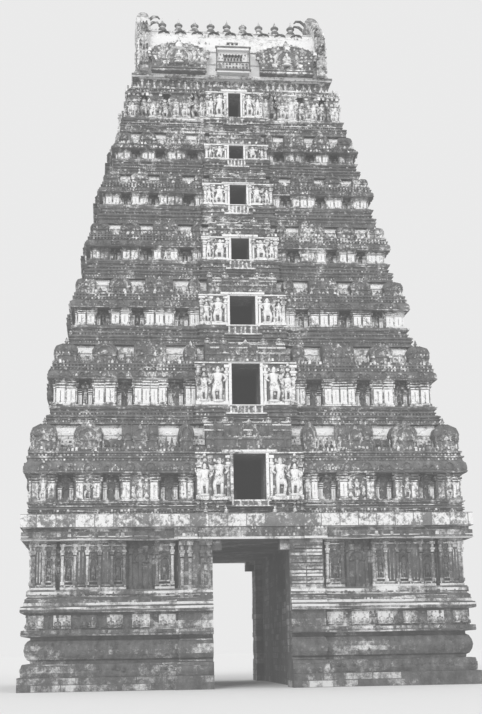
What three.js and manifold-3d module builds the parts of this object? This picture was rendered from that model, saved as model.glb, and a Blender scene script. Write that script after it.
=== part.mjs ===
// A seven-storey temple gate tower: a stone base with a passage through it, seven hollow
// storeys of plastered brick that step inwards, and a barrel roof with two gables and nine finials.
// Millimetres, +Z up. X runs along the street front, the front faces -Y, the origin is the middle
// of the base at ground level.
import * as THREE from "three";
import { mergeVertices } from "three/addons/utils/BufferGeometryUtils.js";
import Module from "manifold-3d";

const wasm = await Module();
wasm.setup();

// Driving dimensions.
const depthLess = 2360; // every storey is this much shallower, from its middle, than it is wide
const base = {
  half: 9850, // the base wall's pilaster face, from the middle
  plinth: 3630,
  wall: 2870,
  cornice: 550,
  slab: 590,
  slabOut: 400,
};
// Its cornice, whose cap is drawn in, its footing in two courses, and how far its piers and wall stand back.
const baseCornice = { out: 350, capHeight: 200, capIn: 150 };
const footing = { low: 325, lowOut: 150, high: 395 };
const baseSetback = { pier: 100, wall: 400 };
const gate = { half: 1740, inner: 2100, jambDepth: 1300, bayHalf: 3250, bayOut: 350 };
const gateCourseShare = 0.5; // how much of a plinth course's projection shows beside the gate
const gateCornice = { wider: 200, out: 150 };
const corbel = { reach: 420, height: 500, depth: 800, setIn: 100 };
const lintel = { seat: 660, beamDepth: 1250 };
// Each storey: half width at its eave, then the heights of ledge, wall, cornice and parapet,
// the window, and the width of the middle bay. The first storey's ledge and the last one's eave are drawn in.
const storeys = [
  { half: 10100, ledge: 600, wall: 1300, cornice: 1000, parapet: 1350, window: [1500, 2120], bay: 4900 },
  { half: 9150, ledge: 900, wall: 1300, cornice: 750, parapet: 1050, window: [1350, 2000], bay: 4750 },
  { half: 8220, ledge: 1000, wall: 900, cornice: 750, parapet: 850, window: [1250, 1480], bay: 4200 },
  { half: 7550, ledge: 1000, wall: 700, cornice: 650, parapet: 700, window: [900, 1150], bay: 3800 },
  { half: 6950, ledge: 1050, wall: 650, cornice: 550, parapet: 600, window: [850, 1100], bay: 3550 },
  { half: 6350, ledge: 900, wall: 550, cornice: 300, parapet: 800, window: [750, 780], bay: 3250 },
  { half: 5820, ledge: 900, wall: 1450, cornice: 350, parapet: 0, window: [650, 1400], bay: 3000 },
];
const firstLedgeIn = 250;
const lastEaveIn = 250;
// How far each part stands behind the storey's half width.
const setback = { drum: 200, upperLedge: 150, pier: 270, wall: 700, corniceTop: 250, parapet: 250 };
// How far the middle bays stand out, at the front and back and at the two ends.
const bayOut = { ledge: 100, wall: 50, parapet: 100 };
const sideBayOut = { cornice: 300, corniceTop: 250, parapet: 200 };
const sideBayShare = 0.26; // half the side's middle bay, as a share of its half length
const bayPavilionShare = 0.4; // half the front bay's pavilion, as a share of the bay's width
const wallShare = 0.13; // wall thickness as a share of a storey's half width
const seatGap = 0.3; // between a piece and the face that it is cut to
const kerbShare = 0.12; // the ledge that carries the pavilions, as a share of their height
const archShare = 0.94; // the small pavilions' height, as a share of the corner ones'
const floorSlab = { thick: 250, belowSill: 50, seat: 150 };
// A small pavilion's outline: where its round head springs, and how far the head swells.
const pavilion = { spring: 0.42, swell: 0.3, steps: 8 };
// A corner pavilion's profile, as shares of its half side and of its height.
const cornerDome = [
  [0, 0],
  [1, 0],
  [1, 0.42],
  [1.08, 0.56],
  [0.9, 0.78],
  [0.3, 0.96],
  [0, 1],
];
const pierBite = 50; // how far a pier runs into the wall behind it
// The roof's neck, with its foot and its lip.
const neck = { half: 5000, height: 900, wall: 600 };
const neckFoot = { out: 300, height: 150 };
const neckLip = { out: 300, height: 200 };
const roof = {
  vaultHalf: 4500,
  vaultDepth: 2850,
  vaultHeight: 3680,
  upright: 250,
  bulge: 0.1,
  steps: 14,
  shell: 450,
};
const gable = { thick: 450, over: 420, foot: 850, footHeight: 900, footShare: 0.8 };
// The horn on a gable: it rises from a share of the gable's height, swells, and narrows to its tip.
const horn = { rise: 1420, half: 950, leafHalf: 520, from: 0.7, swellAt: 1.1, tipHalf: 90, leafTipHalf: 60 };
const dormerSize = { x: 2880, width: 2850, height: 1700, out: 420 };
const niche = { half: 870, height: 1450, out: 520, rim: 180 };
const finial = { count: 9, pitch: 905, height: 1150, radius: 380, sides: 8 };

// Middle distances and widths of the wall piers along a front, as shares of its half length.
const frontPiers = [
  { from: 0.685, to: 0.8, out: 60, roof: archedPavilion },
  { from: 0.42, to: 0.59, out: 120, roof: longPavilion },
  { from: 0.26, to: 0.32, out: 60, roof: archedPavilion },
];
const sidePiers = [{ from: 0.46, to: 0.64, out: 60, roof: archedPavilion }];
const basePiers = {
  front: [
    { from: 0.57, to: 0.87, out: 0 },
    { from: 0.35, to: 0.44, out: 0 },
  ],
  side: [
    { from: 0.6, to: 0.8, out: 0 },
    { from: -0.35, to: 0.35, out: 0 },
  ],
};
const cornerShare = 0.11;

const plaster = new THREE.MeshStandardMaterial({ color: 0x77777a, roughness: 0.95, metalness: 0 });
const granite = new THREE.MeshStandardMaterial({ color: 0x6a6a6c, roughness: 0.9, metalness: 0 });
const limewash = new THREE.MeshStandardMaterial({ color: 0xd9d9d6, roughness: 0.9, metalness: 0 });
const timber = new THREE.MeshStandardMaterial({ color: 0x55504a, roughness: 0.9, metalness: 0 });
const metal = new THREE.MeshStandardMaterial({ color: 0x6e6a62, roughness: 0.5, metalness: 0.6 });

// A closed three.js geometry as a solid that can be joined and cut.
function solid(geometry) {
  const bare = geometry.index ? geometry.toNonIndexed() : geometry.clone();
  bare.deleteAttribute("normal");
  bare.deleteAttribute("uv");
  const merged = mergeVertices(bare, 1e-2);
  return new wasm.Manifold(
    new wasm.Mesh({
      numProp: 3,
      vertProperties: merged.attributes.position.array,
      triVerts: new Uint32Array(merged.index.array),
    }),
  );
}

function join(solids) {
  return solids.reduce((sum, piece) => sum.add(piece));
}

// A solid as a named mesh, placed in its group.
function mesh(name, shape, material) {
  const data = shape.getMesh();
  const geometry = new THREE.BufferGeometry();
  geometry.setAttribute("position", new THREE.BufferAttribute(data.vertProperties, 3));
  geometry.setIndex(new THREE.BufferAttribute(data.triVerts, 1));
  geometry.computeVertexNormals();
  const made = new THREE.Mesh(geometry, material);
  made.name = name;
  return made;
}

// A box between two corners, with its top edge drawn in by the amount given.
function block(x0, x1, y0, y1, z0, z1, drawnIn = 0) {
  const g = new THREE.BoxGeometry(x1 - x0, y1 - y0, z1 - z0);
  g.translate((x0 + x1) / 2, (y0 + y1) / 2, (z0 + z1) / 2);
  if (drawnIn) {
    const p = g.attributes.position;
    for (let i = 0; i < p.count; i++) {
      if (p.getZ(i) < (z0 + z1) / 2) continue;
      p.setX(i, p.getX(i) - Math.sign(p.getX(i) - (x0 + x1) / 2) * drawnIn);
      p.setY(i, p.getY(i) - Math.sign(p.getY(i) - (y0 + y1) / 2) * drawnIn);
    }
  }
  return solid(g);
}

// A block centred on the tower's axis: half width across X, and the matching half depth.
function centred(half, z0, z1, drawnIn = 0) {
  const deep = half - depthLess;
  return block(-half, half, -deep, deep, z0, z1, drawnIn);
}

// The arched outline of a small pavilion: upright sides, then a round head.
function pavilionOutline(half, height) {
  const spring = height * pavilion.spring;
  const head = height - spring;
  const shape = new THREE.Shape();
  shape.moveTo(-half, 0);
  shape.lineTo(half, 0);
  for (let i = 0; i <= pavilion.steps; i++) {
    const turn = (Math.PI * i) / pavilion.steps;
    const swell = 1 + pavilion.swell * Math.abs(Math.sin(2 * turn));
    shape.lineTo(half * Math.cos(turn) * swell, spring + head * Math.sin(turn));
  }
  return shape;
}

// A pavilion whose round head is seen from the front: the outline runs back from the face.
function archedPavilion(x, width, face, depth, height) {
  const g = new THREE.ExtrudeGeometry(pavilionOutline(width / 2, height), { depth, bevelEnabled: false });
  g.rotateX(Math.PI / 2);
  g.translate(x, -face + depth, 0);
  return solid(g);
}

// A long pavilion: a barrel that runs along the front, over the same width of wall.
function longPavilion(x, width, face, depth, height) {
  const outline = pavilionOutline(depth / 2, height);
  const g = new THREE.ExtrudeGeometry(outline, { depth: width, bevelEnabled: false });
  g.rotateX(Math.PI / 2);
  g.rotateZ(Math.PI / 2);
  g.translate(x - width / 2, -face + depth / 2, 0);
  return solid(g);
}

// A square corner pavilion with a four-sided dome.
function cornerPavilion(centreX, centreY, side, height) {
  const points = cornerDome.map(([r, h]) => new THREE.Vector2((r * side) / Math.SQRT2, h * height));
  const g = new THREE.LatheGeometry(points, 4, Math.PI / 4);
  g.rotateX(Math.PI / 2);
  g.translate(centreX, centreY, 0);
  return solid(g);
}

// Copies a front piece to the back, and a right-hand piece to the left.
const mirrorX = (shape) => shape.mirror([1, 0, 0]);
const mirrorY = (shape) => shape.mirror([0, 1, 0]);
const fourWays = (shape) => [shape, mirrorX(shape), mirrorY(shape), mirrorX(mirrorY(shape))];
const frontAndBack = (shape) => [shape, mirrorY(shape)];

// The piers of one storey or of the base, on all four sides, between two heights.
function piers(front, side, face, wallFace, z0, z1) {
  const deepFace = face - depthLess;
  const deepWall = wallFace - depthLess;
  const corner = Math.round(face * cornerShare);
  const made = fourWays(block(face - corner, face, deepFace - corner, deepFace, z0, z1));
  for (const pier of front) {
    const x0 = Math.round(face * pier.from);
    const x1 = Math.round(face * pier.to);
    made.push(...fourWays(block(x0, x1, deepWall - pierBite, deepFace + pier.out, z0, z1)));
  }
  for (const pier of side) {
    const y0 = Math.round(deepFace * pier.from);
    const y1 = Math.round(deepFace * pier.to);
    const right = block(wallFace - pierBite, face + pier.out, y0, y1, z0, z1);
    made.push(...(y0 < 0 ? [right, mirrorX(right)] : fourWays(right)));
  }
  return made;
}

function storeySizes(index) {
  const s = storeys[index];
  const below = storeys[index - 1];
  const thick = Math.round(s.half * wallShare);
  const inside = s.half - setback.wall - thick;
  const ledgeIn = below ? 0 : firstLedgeIn;
  const eaveIn = s.parapet ? 0 : lastEaveIn;
  return { ...s, inside, ledgeIn, eaveIn, drum: below ? below.parapet : 0 };
}

// One storey's walls as a ring, from the cornice below up to its own cornice.
function storeyWalls(s) {
  const wallTop = s.ledge + s.wall;
  const top = wallTop + s.cornice;
  const deep = s.half - depthLess;
  const bayX = s.bay / 2;
  const bayY = Math.round(deep * sideBayShare);
  const bayFace = deep - s.ledgeIn + bayOut.ledge;
  const outside = [
    centred(s.half - s.ledgeIn, 0, s.ledge / 2),
    centred(s.half - Math.max(s.ledgeIn, setback.upperLedge), s.ledge / 2, s.ledge),
    centred(s.half - setback.wall, s.ledge, wallTop),
    centred(s.half - s.eaveIn, wallTop, top, setback.corniceTop),
    ...piers(frontPiers, sidePiers, s.half - setback.pier, s.half - setback.wall, s.ledge, wallTop),
    block(-bayX, bayX, -bayFace, bayFace, 0, s.ledge),
    block(-bayX, bayX, -deep - bayOut.wall, deep + bayOut.wall, s.ledge, top),
    block(-s.half + s.ledgeIn, s.half - s.ledgeIn, -bayY, bayY, 0, s.ledge),
    block(-s.half - bayOut.wall, s.half + bayOut.wall, -bayY, bayY, s.ledge, wallTop),
  ];
  if (s.parapet) {
    const eaveX = s.half + sideBayOut.cornice;
    const eaveY = bayY + bayOut.ledge;
    const drawnIn = sideBayOut.cornice - sideBayOut.corniceTop;
    outside.push(block(-eaveX, eaveX, -eaveY, eaveY, wallTop, top, drawnIn));
  }
  if (s.drum) outside.push(centred(s.half - setback.drum, -s.drum, 0));
  const floorUnder = s.ledge - floorSlab.belowSill - floorSlab.thick;
  const room = centred(s.inside, floorUnder, top + 1);
  const under = centred(s.inside - floorSlab.seat, -s.drum - 1, floorUnder);
  const [windowWidth, windowHeight] = s.window;
  const sill = s.ledge;
  const windows = block(-windowWidth / 2, windowWidth / 2, -s.half, s.half, sill, sill + windowHeight);
  return join(outside).subtract(join([room, under, windows]));
}

function storeyFloor(s) {
  const top = s.ledge - floorSlab.belowSill;
  return centred(s.inside, top - floorSlab.thick, top);
}

// The row of small pavilions on a storey's cornice, joined by the ledge that they stand on.
function storeyParapet(s, next) {
  const face = s.half - setback.parapet;
  const drumFace = next.half - setback.drum;
  const kerb = Math.round(s.parapet * kerbShare);
  const corner = Math.round((s.half - setback.pier) * cornerShare);
  const deepFace = face - depthLess;
  const shapes = [
    centred(face, 0, kerb),
    ...fourWays(cornerPavilion(face - corner / 2, deepFace - corner / 2, corner, s.parapet)),
  ];
  // One pavilion over a pier: where it stands along its side, and how far its face is out.
  const overPier = (build, from, to, along, out, height) =>
    build(((from + to) / 2) * along, (to - from) * along, out, out - drumFace, height);
  const along = s.half - setback.pier;
  for (const pier of frontPiers) {
    const shape = overPier(pier.roof, pier.from, pier.to, along, face + pier.out, archShare * s.parapet);
    shapes.push(...fourWays(shape.translate([0, depthLess, 0])));
  }
  for (const pier of sidePiers) {
    const deepAlong = along - depthLess;
    const shape = overPier(pier.roof, pier.from, pier.to, deepAlong, face + pier.out, archShare * s.parapet);
    shapes.push(...fourWays(shape.rotate([0, 0, 90])));
  }
  const bayFace = s.half + bayOut.parapet;
  const sideFace = s.half + sideBayOut.parapet;
  const front = overPier(longPavilion, -bayPavilionShare, bayPavilionShare, s.bay, bayFace, s.parapet);
  const side = overPier(longPavilion, -sideBayShare, sideBayShare, along - depthLess, sideFace, s.parapet);
  shapes.push(...frontAndBack(front.translate([0, depthLess, 0])));
  shapes.push(side.rotate([0, 0, 90]), side.rotate([0, 0, -90]));
  const foot = block(-s.bay / 2, s.bay / 2, -s.half + depthLess, s.half - depthLess, 0, kerb);
  const sideFoot = Math.round((along - depthLess) * sideBayShare);
  shapes.push(foot, block(-sideFace, sideFace, -sideFoot, sideFoot, 0, kerb));
  return join(shapes).subtract(centred(drumFace + seatGap, -1, s.parapet + 1));
}

// The plinth's mouldings from the ground up: height, and how far each stands out from the wall.
const plinthCourses = [
  [600, 400],
  [550, 200],
  [1200, -150],
  [250, 250],
  [750, 50],
  [280, 300],
];

// One half of the base, right of the passage, from its list of courses.
function baseHalf(courses, z0) {
  const solids = [];
  let z = z0;
  for (const [height, out] of courses) {
    const half = base.half + out;
    const deep = half - depthLess;
    solids.push(block(gate.half, half, -deep, deep, z, z + height));
    const gateDeep = deep + gate.bayOut;
    solids.push(block(gate.half, gate.bayHalf + gateCourseShare * out, -gateDeep, gateDeep, z, z + height));
    z += height;
  }
  const passageDeep = base.half - depthLess - gate.jambDepth;
  return join(solids).subtract(block(gate.half - 1, gate.inner, -passageDeep, passageDeep, z0 - 1, z + 1));
}

// The base wall, right of the passage: footing courses, wall with piers, then the cornice.
function baseWall() {
  const footingTop = footing.low + footing.high;
  const deep = base.half - depthLess;
  const corniceHalf = base.half + baseCornice.out;
  const top = base.wall + base.cornice;
  const capFoot = top - baseCornice.capHeight;
  const courses = [
    [footing.low, footing.lowOut],
    [footing.high, 0],
    [base.wall - footingTop, -baseSetback.wall],
  ];
  const front = deep + gate.bayOut;
  const lipHalf = gate.bayHalf + gateCornice.wider;
  const lipFront = front + gateCornice.out;
  const pierFace = base.half - baseSetback.pier;
  const wallFace = base.half - baseSetback.wall;
  const body = join([
    baseHalf(courses, 0),
    ...piers(basePiers.front, basePiers.side, pierFace, wallFace, footingTop, base.wall),
    centred(corniceHalf, base.wall, capFoot),
    centred(corniceHalf - baseCornice.capIn, capFoot, top),
    block(gate.half, gate.bayHalf, -front, front, footingTop, base.wall),
    block(gate.half, lipHalf, -lipFront, lipFront, base.wall, top),
  ]);
  const passageDeep = deep - gate.jambDepth;
  const cut = [
    block(-corniceHalf - 1, gate.half, -corniceHalf, corniceHalf, -1, top + 1),
    block(gate.half - 1, gate.half + lintel.seat, -corniceHalf, corniceHalf, base.wall, top + 1),
    block(gate.half - 1, gate.inner, -passageDeep, passageDeep, -1, base.wall + 1),
  ];
  const y0 = -front + corbel.setIn;
  const foot = base.wall - corbel.height;
  const bracket = block(gate.half - corbel.reach, gate.half + 1, y0, y0 + corbel.depth, foot, base.wall);
  return join([body.subtract(join(cut)), ...frontAndBack(bracket)]);
}

// A beam over the passage, or the stones of its ceiling, between two depths.
function passageCover(y0, y1) {
  const half = gate.half + lintel.seat;
  return block(-half, half, y0, y1, 0, base.cornice);
}

// The roof's outline across its depth: an upright foot from foot upwards, bulging sides, a blunt ridge.
function vaultOutline(half, height, foot = 0) {
  const shape = new THREE.Shape();
  shape.moveTo(-half, foot);
  for (let i = 0; i <= roof.steps; i++) {
    const turn = Math.PI - (Math.PI * i) / roof.steps;
    const bulge = 1 + roof.bulge * Math.sin(2 * Math.min(turn, Math.PI - turn));
    shape.lineTo(half * Math.cos(turn) * bulge, roof.upright + (height - roof.upright) * Math.sin(turn));
  }
  shape.lineTo(half, foot);
  return shape;
}

// An outline in Y and Z, run along X from x0 to x1.
function runAlongX(shape, x0, x1) {
  const g = new THREE.ExtrudeGeometry(shape, { depth: x1 - x0, bevelEnabled: false });
  g.rotateX(Math.PI / 2);
  g.rotateZ(Math.PI / 2);
  g.translate(x0, 0, 0);
  return solid(g);
}

function roofNeck() {
  const lipFoot = neck.height - neckLip.height;
  return centred(neck.half + neckFoot.out, 0, neckFoot.height)
    .add(centred(neck.half, neckFoot.height, lipFoot))
    .add(centred(neck.half + neckLip.out, lipFoot, neck.height))
    .subtract(centred(neck.half - neck.wall, -1, neck.height + 1));
}

function roofVault() {
  const outer = runAlongX(vaultOutline(roof.vaultDepth, roof.vaultHeight), -roof.vaultHalf, roof.vaultHalf);
  const inner = vaultOutline(roof.vaultDepth - roof.shell, roof.vaultHeight - roof.shell, -1);
  return outer.subtract(runAlongX(inner, -roof.vaultHalf - 1, roof.vaultHalf + 1));
}

// A leaf-shaped outline that swells from its foot and closes to a narrow tip.
function leafOutline(footHalf, swellHalf, z0, zSwell, zTip, tipHalf) {
  const shape = new THREE.Shape();
  shape.moveTo(-footHalf, z0);
  shape.lineTo(footHalf, z0);
  shape.quadraticCurveTo(swellHalf * 1.35, zSwell, tipHalf, zTip);
  shape.lineTo(-tipHalf, zTip);
  shape.quadraticCurveTo(-swellHalf * 1.35, zSwell, -footHalf, z0);
  return shape;
}

// The end plate of the roof: a wider arch than the vault, under a tall leaf-shaped horn.
function roofGable() {
  const half = roof.vaultDepth + gable.over;
  const height = roof.vaultHeight + gable.over;
  const middle = roof.vaultHalf + gable.thick / 2;
  const plate = runAlongX(vaultOutline(half, height), roof.vaultHalf, roof.vaultHalf + gable.thick);
  const z0 = height * horn.from;
  const tip = roof.vaultHeight + horn.rise;
  const acrossDepth = runAlongX(
    leafOutline(horn.half, horn.half, z0, height * horn.swellAt, tip, horn.tipHalf),
    middle - 2 * horn.leafHalf,
    middle + 2 * horn.leafHalf,
  );
  const leaf = leafOutline(gable.thick / 2, horn.leafHalf, z0, height, tip, horn.leafTipHalf);
  const depth = 4 * horn.half;
  const acrossWidth = new THREE.ExtrudeGeometry(leaf, { depth, bevelEnabled: false, curveSegments: 6 });
  acrossWidth.rotateX(Math.PI / 2);
  acrossWidth.translate(middle, depth / 2, 0);
  const leafHorn = acrossDepth.intersect(solid(acrossWidth));
  const footDeep = half * gable.footShare;
  const outer = roof.vaultHalf + gable.foot;
  const drawnIn = gable.foot - gable.thick;
  const foot = block(roof.vaultHalf, outer, -footDeep, footDeep, 0, gable.footHeight, drawnIn);
  return join([plate, leafHorn, foot]).subtract(underRoof());
}

// What lies under the roof's outer face, to cut a dormer, a niche or a gable to it.
function underRoof() {
  const outline = vaultOutline(roof.vaultDepth + seatGap, roof.vaultHeight + seatGap, -1);
  return runAlongX(outline, -roof.vaultHalf, roof.vaultHalf);
}

// An arched dormer on the roof's front slope.
function dormer(x) {
  const depth = roof.vaultDepth / 2;
  const face = roof.vaultDepth + dormerSize.out;
  return archedPavilion(x, dormerSize.width, face, depth, dormerSize.height).subtract(underRoof());
}

// The framed niche in the middle of the roof's front, with a flat lid.
function roofNiche() {
  const { half, height, rim } = niche;
  const face = roof.vaultDepth + niche.out;
  const back = roof.vaultDepth / 2;
  const body = join([
    block(-half, half, -face, -back, 0, rim),
    block(-half + rim / 2, half - rim / 2, -face + rim, -back, rim, height - rim),
    block(-half, half, -face, -back, height - rim, height),
  ]);
  const frame = 2 * rim;
  const hollow = block(-half + frame, half - frame, -face - 1, -face + frame, frame, height - frame);
  return body.subtract(hollow).subtract(underRoof());
}

// A pot finial: foot, lower pot, upper pot and tip, turned about its own axis.
function potFinial() {
  const profile = [
    [0, 0],
    [1, 0],
    [0.85, 0.12],
    [0.3, 0.2],
    [0.64, 0.34],
    [0.3, 0.48],
    [0.6, 0.62],
    [0.2, 0.76],
    [0.12, 0.94],
    [0, 1],
  ];
  const points = profile.map(([r, h]) => new THREE.Vector2(r * finial.radius, h * finial.height));
  const g = new THREE.LatheGeometry(points, finial.sides);
  g.rotateX(Math.PI / 2);
  return solid(g);
}

function groupAt(z, ...meshes) {
  const made = new THREE.Group();
  made.position.z = z;
  made.add(...meshes);
  return made;
}

const tower = new THREE.Group();

const plinthRight = baseHalf(plinthCourses, 0);
tower.add(mesh("base_plinth_right", plinthRight, granite));
tower.add(mesh("base_plinth_left", mirrorX(plinthRight), granite));

const wallRight = baseWall();
const lintelDeep = base.half - depthLess + gate.bayOut;
const beamEnd = lintelDeep - lintel.beamDepth;
tower.add(
  groupAt(
    base.plinth,
    mesh("base_wall_right", wallRight, granite),
    mesh("base_wall_left", mirrorX(wallRight), granite),
  ),
);
tower.add(
  groupAt(
    base.plinth + base.wall,
    mesh("front_lintel", passageCover(-lintelDeep, -beamEnd), granite),
    mesh("back_lintel", passageCover(beamEnd, lintelDeep), granite),
    mesh("passage_ceiling", passageCover(-beamEnd, beamEnd), granite),
  ),
);

const slabFoot = base.plinth + base.wall + base.cornice;
tower.add(groupAt(slabFoot, mesh("base_slab", centred(base.half + base.slabOut, 0, base.slab), limewash)));

let level = slabFoot + base.slab;
storeys.forEach((_, index) => {
  const s = storeySizes(index);
  const name = `tier_${index + 1}`;
  const group = groupAt(
    level,
    mesh(`${name}_walls`, storeyWalls(s), plaster),
    mesh(`${name}_floor`, storeyFloor(s), timber),
  );
  const corniceTop = s.ledge + s.wall + s.cornice;
  if (s.parapet) {
    const parapet = storeyParapet(s, storeys[index + 1]);
    group.add(groupAt(corniceTop, mesh(`${name}_parapet`, parapet, plaster)));
  }
  tower.add(group);
  level += corniceTop + s.parapet;
});

tower.add(groupAt(level, mesh("roof_neck", roofNeck(), plaster)));
const vaultFoot = level + neck.height;
const gableRight = roofGable();
const dormerShape = dormer(dormerSize.x);
const nicheShape = roofNiche();
tower.add(
  groupAt(
    vaultFoot,
    mesh("roof_vault", roofVault(), limewash),
    mesh("gable_right", gableRight, plaster),
    mesh("gable_left", mirrorX(gableRight), plaster),
    mesh("dormer_front_right", dormerShape, plaster),
    mesh("dormer_front_left", mirrorX(dormerShape), plaster),
    mesh("dormer_back_right", mirrorY(dormerShape), plaster),
    mesh("dormer_back_left", mirrorX(mirrorY(dormerShape)), plaster),
    mesh("niche_front", nicheShape, limewash),
    mesh("niche_back", mirrorY(nicheShape), limewash),
  ),
);

for (let i = 0; i < finial.count; i++) {
  const pot = mesh(`finial_${i + 1}`, potFinial(), metal);
  pot.position.set((i - (finial.count - 1) / 2) * finial.pitch, 0, vaultFoot + roof.vaultHeight);
  tower.add(pot);
}

export default tower;
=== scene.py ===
"""The looks of the temple gate tower: mouldings, pilasters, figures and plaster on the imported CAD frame."""

import math
from collections import namedtuple
from functools import partial
from types import SimpleNamespace

import bpy
import numpy as np
from mathutils import Matrix, Vector


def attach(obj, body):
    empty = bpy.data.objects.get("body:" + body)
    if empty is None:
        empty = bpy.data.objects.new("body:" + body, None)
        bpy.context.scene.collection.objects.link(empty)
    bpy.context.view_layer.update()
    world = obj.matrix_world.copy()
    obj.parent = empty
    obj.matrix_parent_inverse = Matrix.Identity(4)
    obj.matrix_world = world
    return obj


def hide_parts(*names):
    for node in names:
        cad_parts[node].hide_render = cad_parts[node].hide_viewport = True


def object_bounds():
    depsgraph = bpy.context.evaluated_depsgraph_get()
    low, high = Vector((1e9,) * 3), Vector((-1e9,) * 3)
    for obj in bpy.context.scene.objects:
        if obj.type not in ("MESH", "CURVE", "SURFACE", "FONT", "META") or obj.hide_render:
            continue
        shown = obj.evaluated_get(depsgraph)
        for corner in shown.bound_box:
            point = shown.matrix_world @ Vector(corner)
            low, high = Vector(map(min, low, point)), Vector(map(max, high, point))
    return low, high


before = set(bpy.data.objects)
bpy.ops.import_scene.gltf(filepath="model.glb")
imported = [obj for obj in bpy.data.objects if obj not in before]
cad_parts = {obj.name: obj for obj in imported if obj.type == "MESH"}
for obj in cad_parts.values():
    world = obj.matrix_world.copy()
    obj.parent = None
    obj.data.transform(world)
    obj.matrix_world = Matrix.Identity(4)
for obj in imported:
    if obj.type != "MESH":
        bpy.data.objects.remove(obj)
cad_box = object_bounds()

# The frame's own sizes, in metres. Every block is less deep than it is wide by twice this:
DEPTH_LESS = 2.36
# A storey's foot, its half width at the eave, the heights of its zones, the window's width and height, and
# the middle bay's width.
Storey = namedtuple("Storey", "foot half ledge wall cornice parapet window bay")
STOREYS = [Storey(*sizes) for sizes in (
    (7.64, 10.1, 0.6, 1.3, 1.0, 1.35, (1.5, 2.12), 4.9),
    (11.89, 9.15, 0.9, 1.3, 0.75, 1.05, (1.35, 2.0), 4.75),
    (15.89, 8.22, 1.0, 0.9, 0.75, 0.85, (1.25, 1.48), 4.2),
    (19.39, 7.55, 1.0, 0.7, 0.65, 0.7, (0.9, 1.15), 3.8),
    (22.44, 6.95, 1.05, 0.65, 0.55, 0.6, (0.85, 1.1), 3.55),
    (25.29, 6.35, 0.9, 0.55, 0.3, 0.8, (0.75, 0.78), 3.25),
    (27.84, 5.82, 0.9, 1.45, 0.35, 0.0, (0.65, 1.4), 3.0),
)]
# How white each storey's parts are, from 0 for blackened plaster to 1 for fresh limewash.
Tone = namedtuple("Tone", "ledge panel figure cornice dome strip guard seat relief")
TONES = [Tone(*shades) for shades in (
    (0.5, 0.7, 0.5, 0.22, 0.18, 0.95, 0.85, 0.7, True),
    (0.3, 0.95, 0.85, 0.22, 0.19, 0.85, 0.97, 0.95, False),
    (0.28, 0.97, 0.8, 0.23, 0.19, 0.97, 0.97, 0.95, False),
    (0.28, 0.7, 0.6, 0.22, 0.18, 0.97, 0.97, 0.9, True),
    (0.3, 0.8, 0.65, 0.22, 0.18, 0.97, 0.95, 0.8, False),
    (0.3, 0.6, 0.6, 0.28, 0.22, 0.9, 0.95, 0.8, False),
    (0.4, 0.8, 0.9, 0.4, 0.25, 0.9, 0.9, 0.9, False),
)]
# How far parts stand back from the storey's half width, and how far parts of the middle bays stand out.
FIRST_LEDGE_IN, LAST_EAVE_IN, DRUM, UPPER_LEDGE, PIER, WALL, PARAPET = 0.25, 0.25, 0.2, 0.15, 0.27, 0.7, 0.25
BAY_LEDGE, BAY_WALL, SIDE_CORNICE, FRONT_PARAPET, SIDE_PARAPET = 0.1, 0.05, 0.3, 0.1, 0.2
# Shares: an end bay's and a corner pier's width, the low pavilions' height, the foot of a barrel's curve.
SIDE_BAY_SHARE, CORNER_SHARE, ARCH_SHARE, SPRING_SHARE = 0.26, 0.11, 0.94, 0.42
# The piers beside the middle bay: where they start and end, how far they stand out, and their pavilion.
FRONT_PIERS = [(0.685, 0.8, 0.06, "arched"), (0.42, 0.59, 0.12, "long"), (0.26, 0.32, 0.06, "arched")]
SIDE_PIERS = [(0.46, 0.64, 0.06, "arched")]
BASE_HALF, PLINTH, BASE_WALL, BASE_CORNICE, BASE_FOOT = 9.85, 3.63, 2.87, 0.55, 0.72
GATE_HALF, GATE_BAY, GATE_OUT = 1.74, 3.25, 0.35
ROOF_FOOT, VAULT_HALF, VAULT_DEPTH, VAULT_HEIGHT = 31.44, 4.5, 2.85, 3.68
NECK_HALF, NECK_HEIGHT = 5.0, 0.9
DORMER_X, DORMER_WIDTH, DORMER_HEIGHT, DORMER_OUT, NICHE_OUT, GABLE_OUT = 2.88, 2.85, 1.7, 0.42, 0.52, 0.45
POT_PLACES = [(i - 4) * 0.905 for i in range(9)]
# Mouldings are worn at points this far apart, by so much at most.
WEAR_PITCH, WAVER = 0.75, 0.025
# The radius of a barrel's ribs, and the size of the pots on the pavilions.
RIB, SMALL_POT = 0.035, (0.26, 0.26, 0.2)
rng = np.random.default_rng(7)


# Forms: points, triangles, one paint value a point, and whether each triangle is smooth.
# They are made in a side's own frame: x along the side, y out of the wall, z up.
def form(points, faces, paint=1.0, smooth=False):
    points = np.array(points, float).reshape(-1, 3)
    faces = np.array(faces, int).reshape(-1, 3)
    return points, faces, np.full(len(points), float(paint)), np.full(len(faces), smooth)


def merged(forms):
    points, faces, paints, smooth = zip(*forms)
    starts = np.cumsum([0] + [len(p) for p in points])
    faces = [f + start for f, start in zip(faces, starts)]
    return tuple(np.concatenate(rows) for rows in (points, faces, paints, smooth))


def placed(shape, x=0.0, y=0.0, z=0.0, scale=1.0, paint=1.0):
    points, faces, paints, smooth = shape
    return points * np.array(scale) + (x, y, z), faces, paints * paint, smooth


def mirrored(shape):
    points, faces, paints, smooth = shape
    return points * (-1, 1, 1), faces[:, ::-1], paints, smooth


def turned(shape, angle):
    points, faces, paints, smooth = shape
    c, s = math.cos(angle), math.sin(angle)
    return points @ np.array([[c, s, 0], [-s, c, 0], [0, 0, 1]]), faces, paints, smooth


def both_halves(forms):
    shape = merged(forms)
    return merged([shape, mirrored(shape)])


def front_and_back(shape):
    return merged([shape, turned(shape, math.pi)])


def two_sides(shape):
    return merged([turned(shape, math.pi / 2), turned(shape, -math.pi / 2)])


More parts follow.
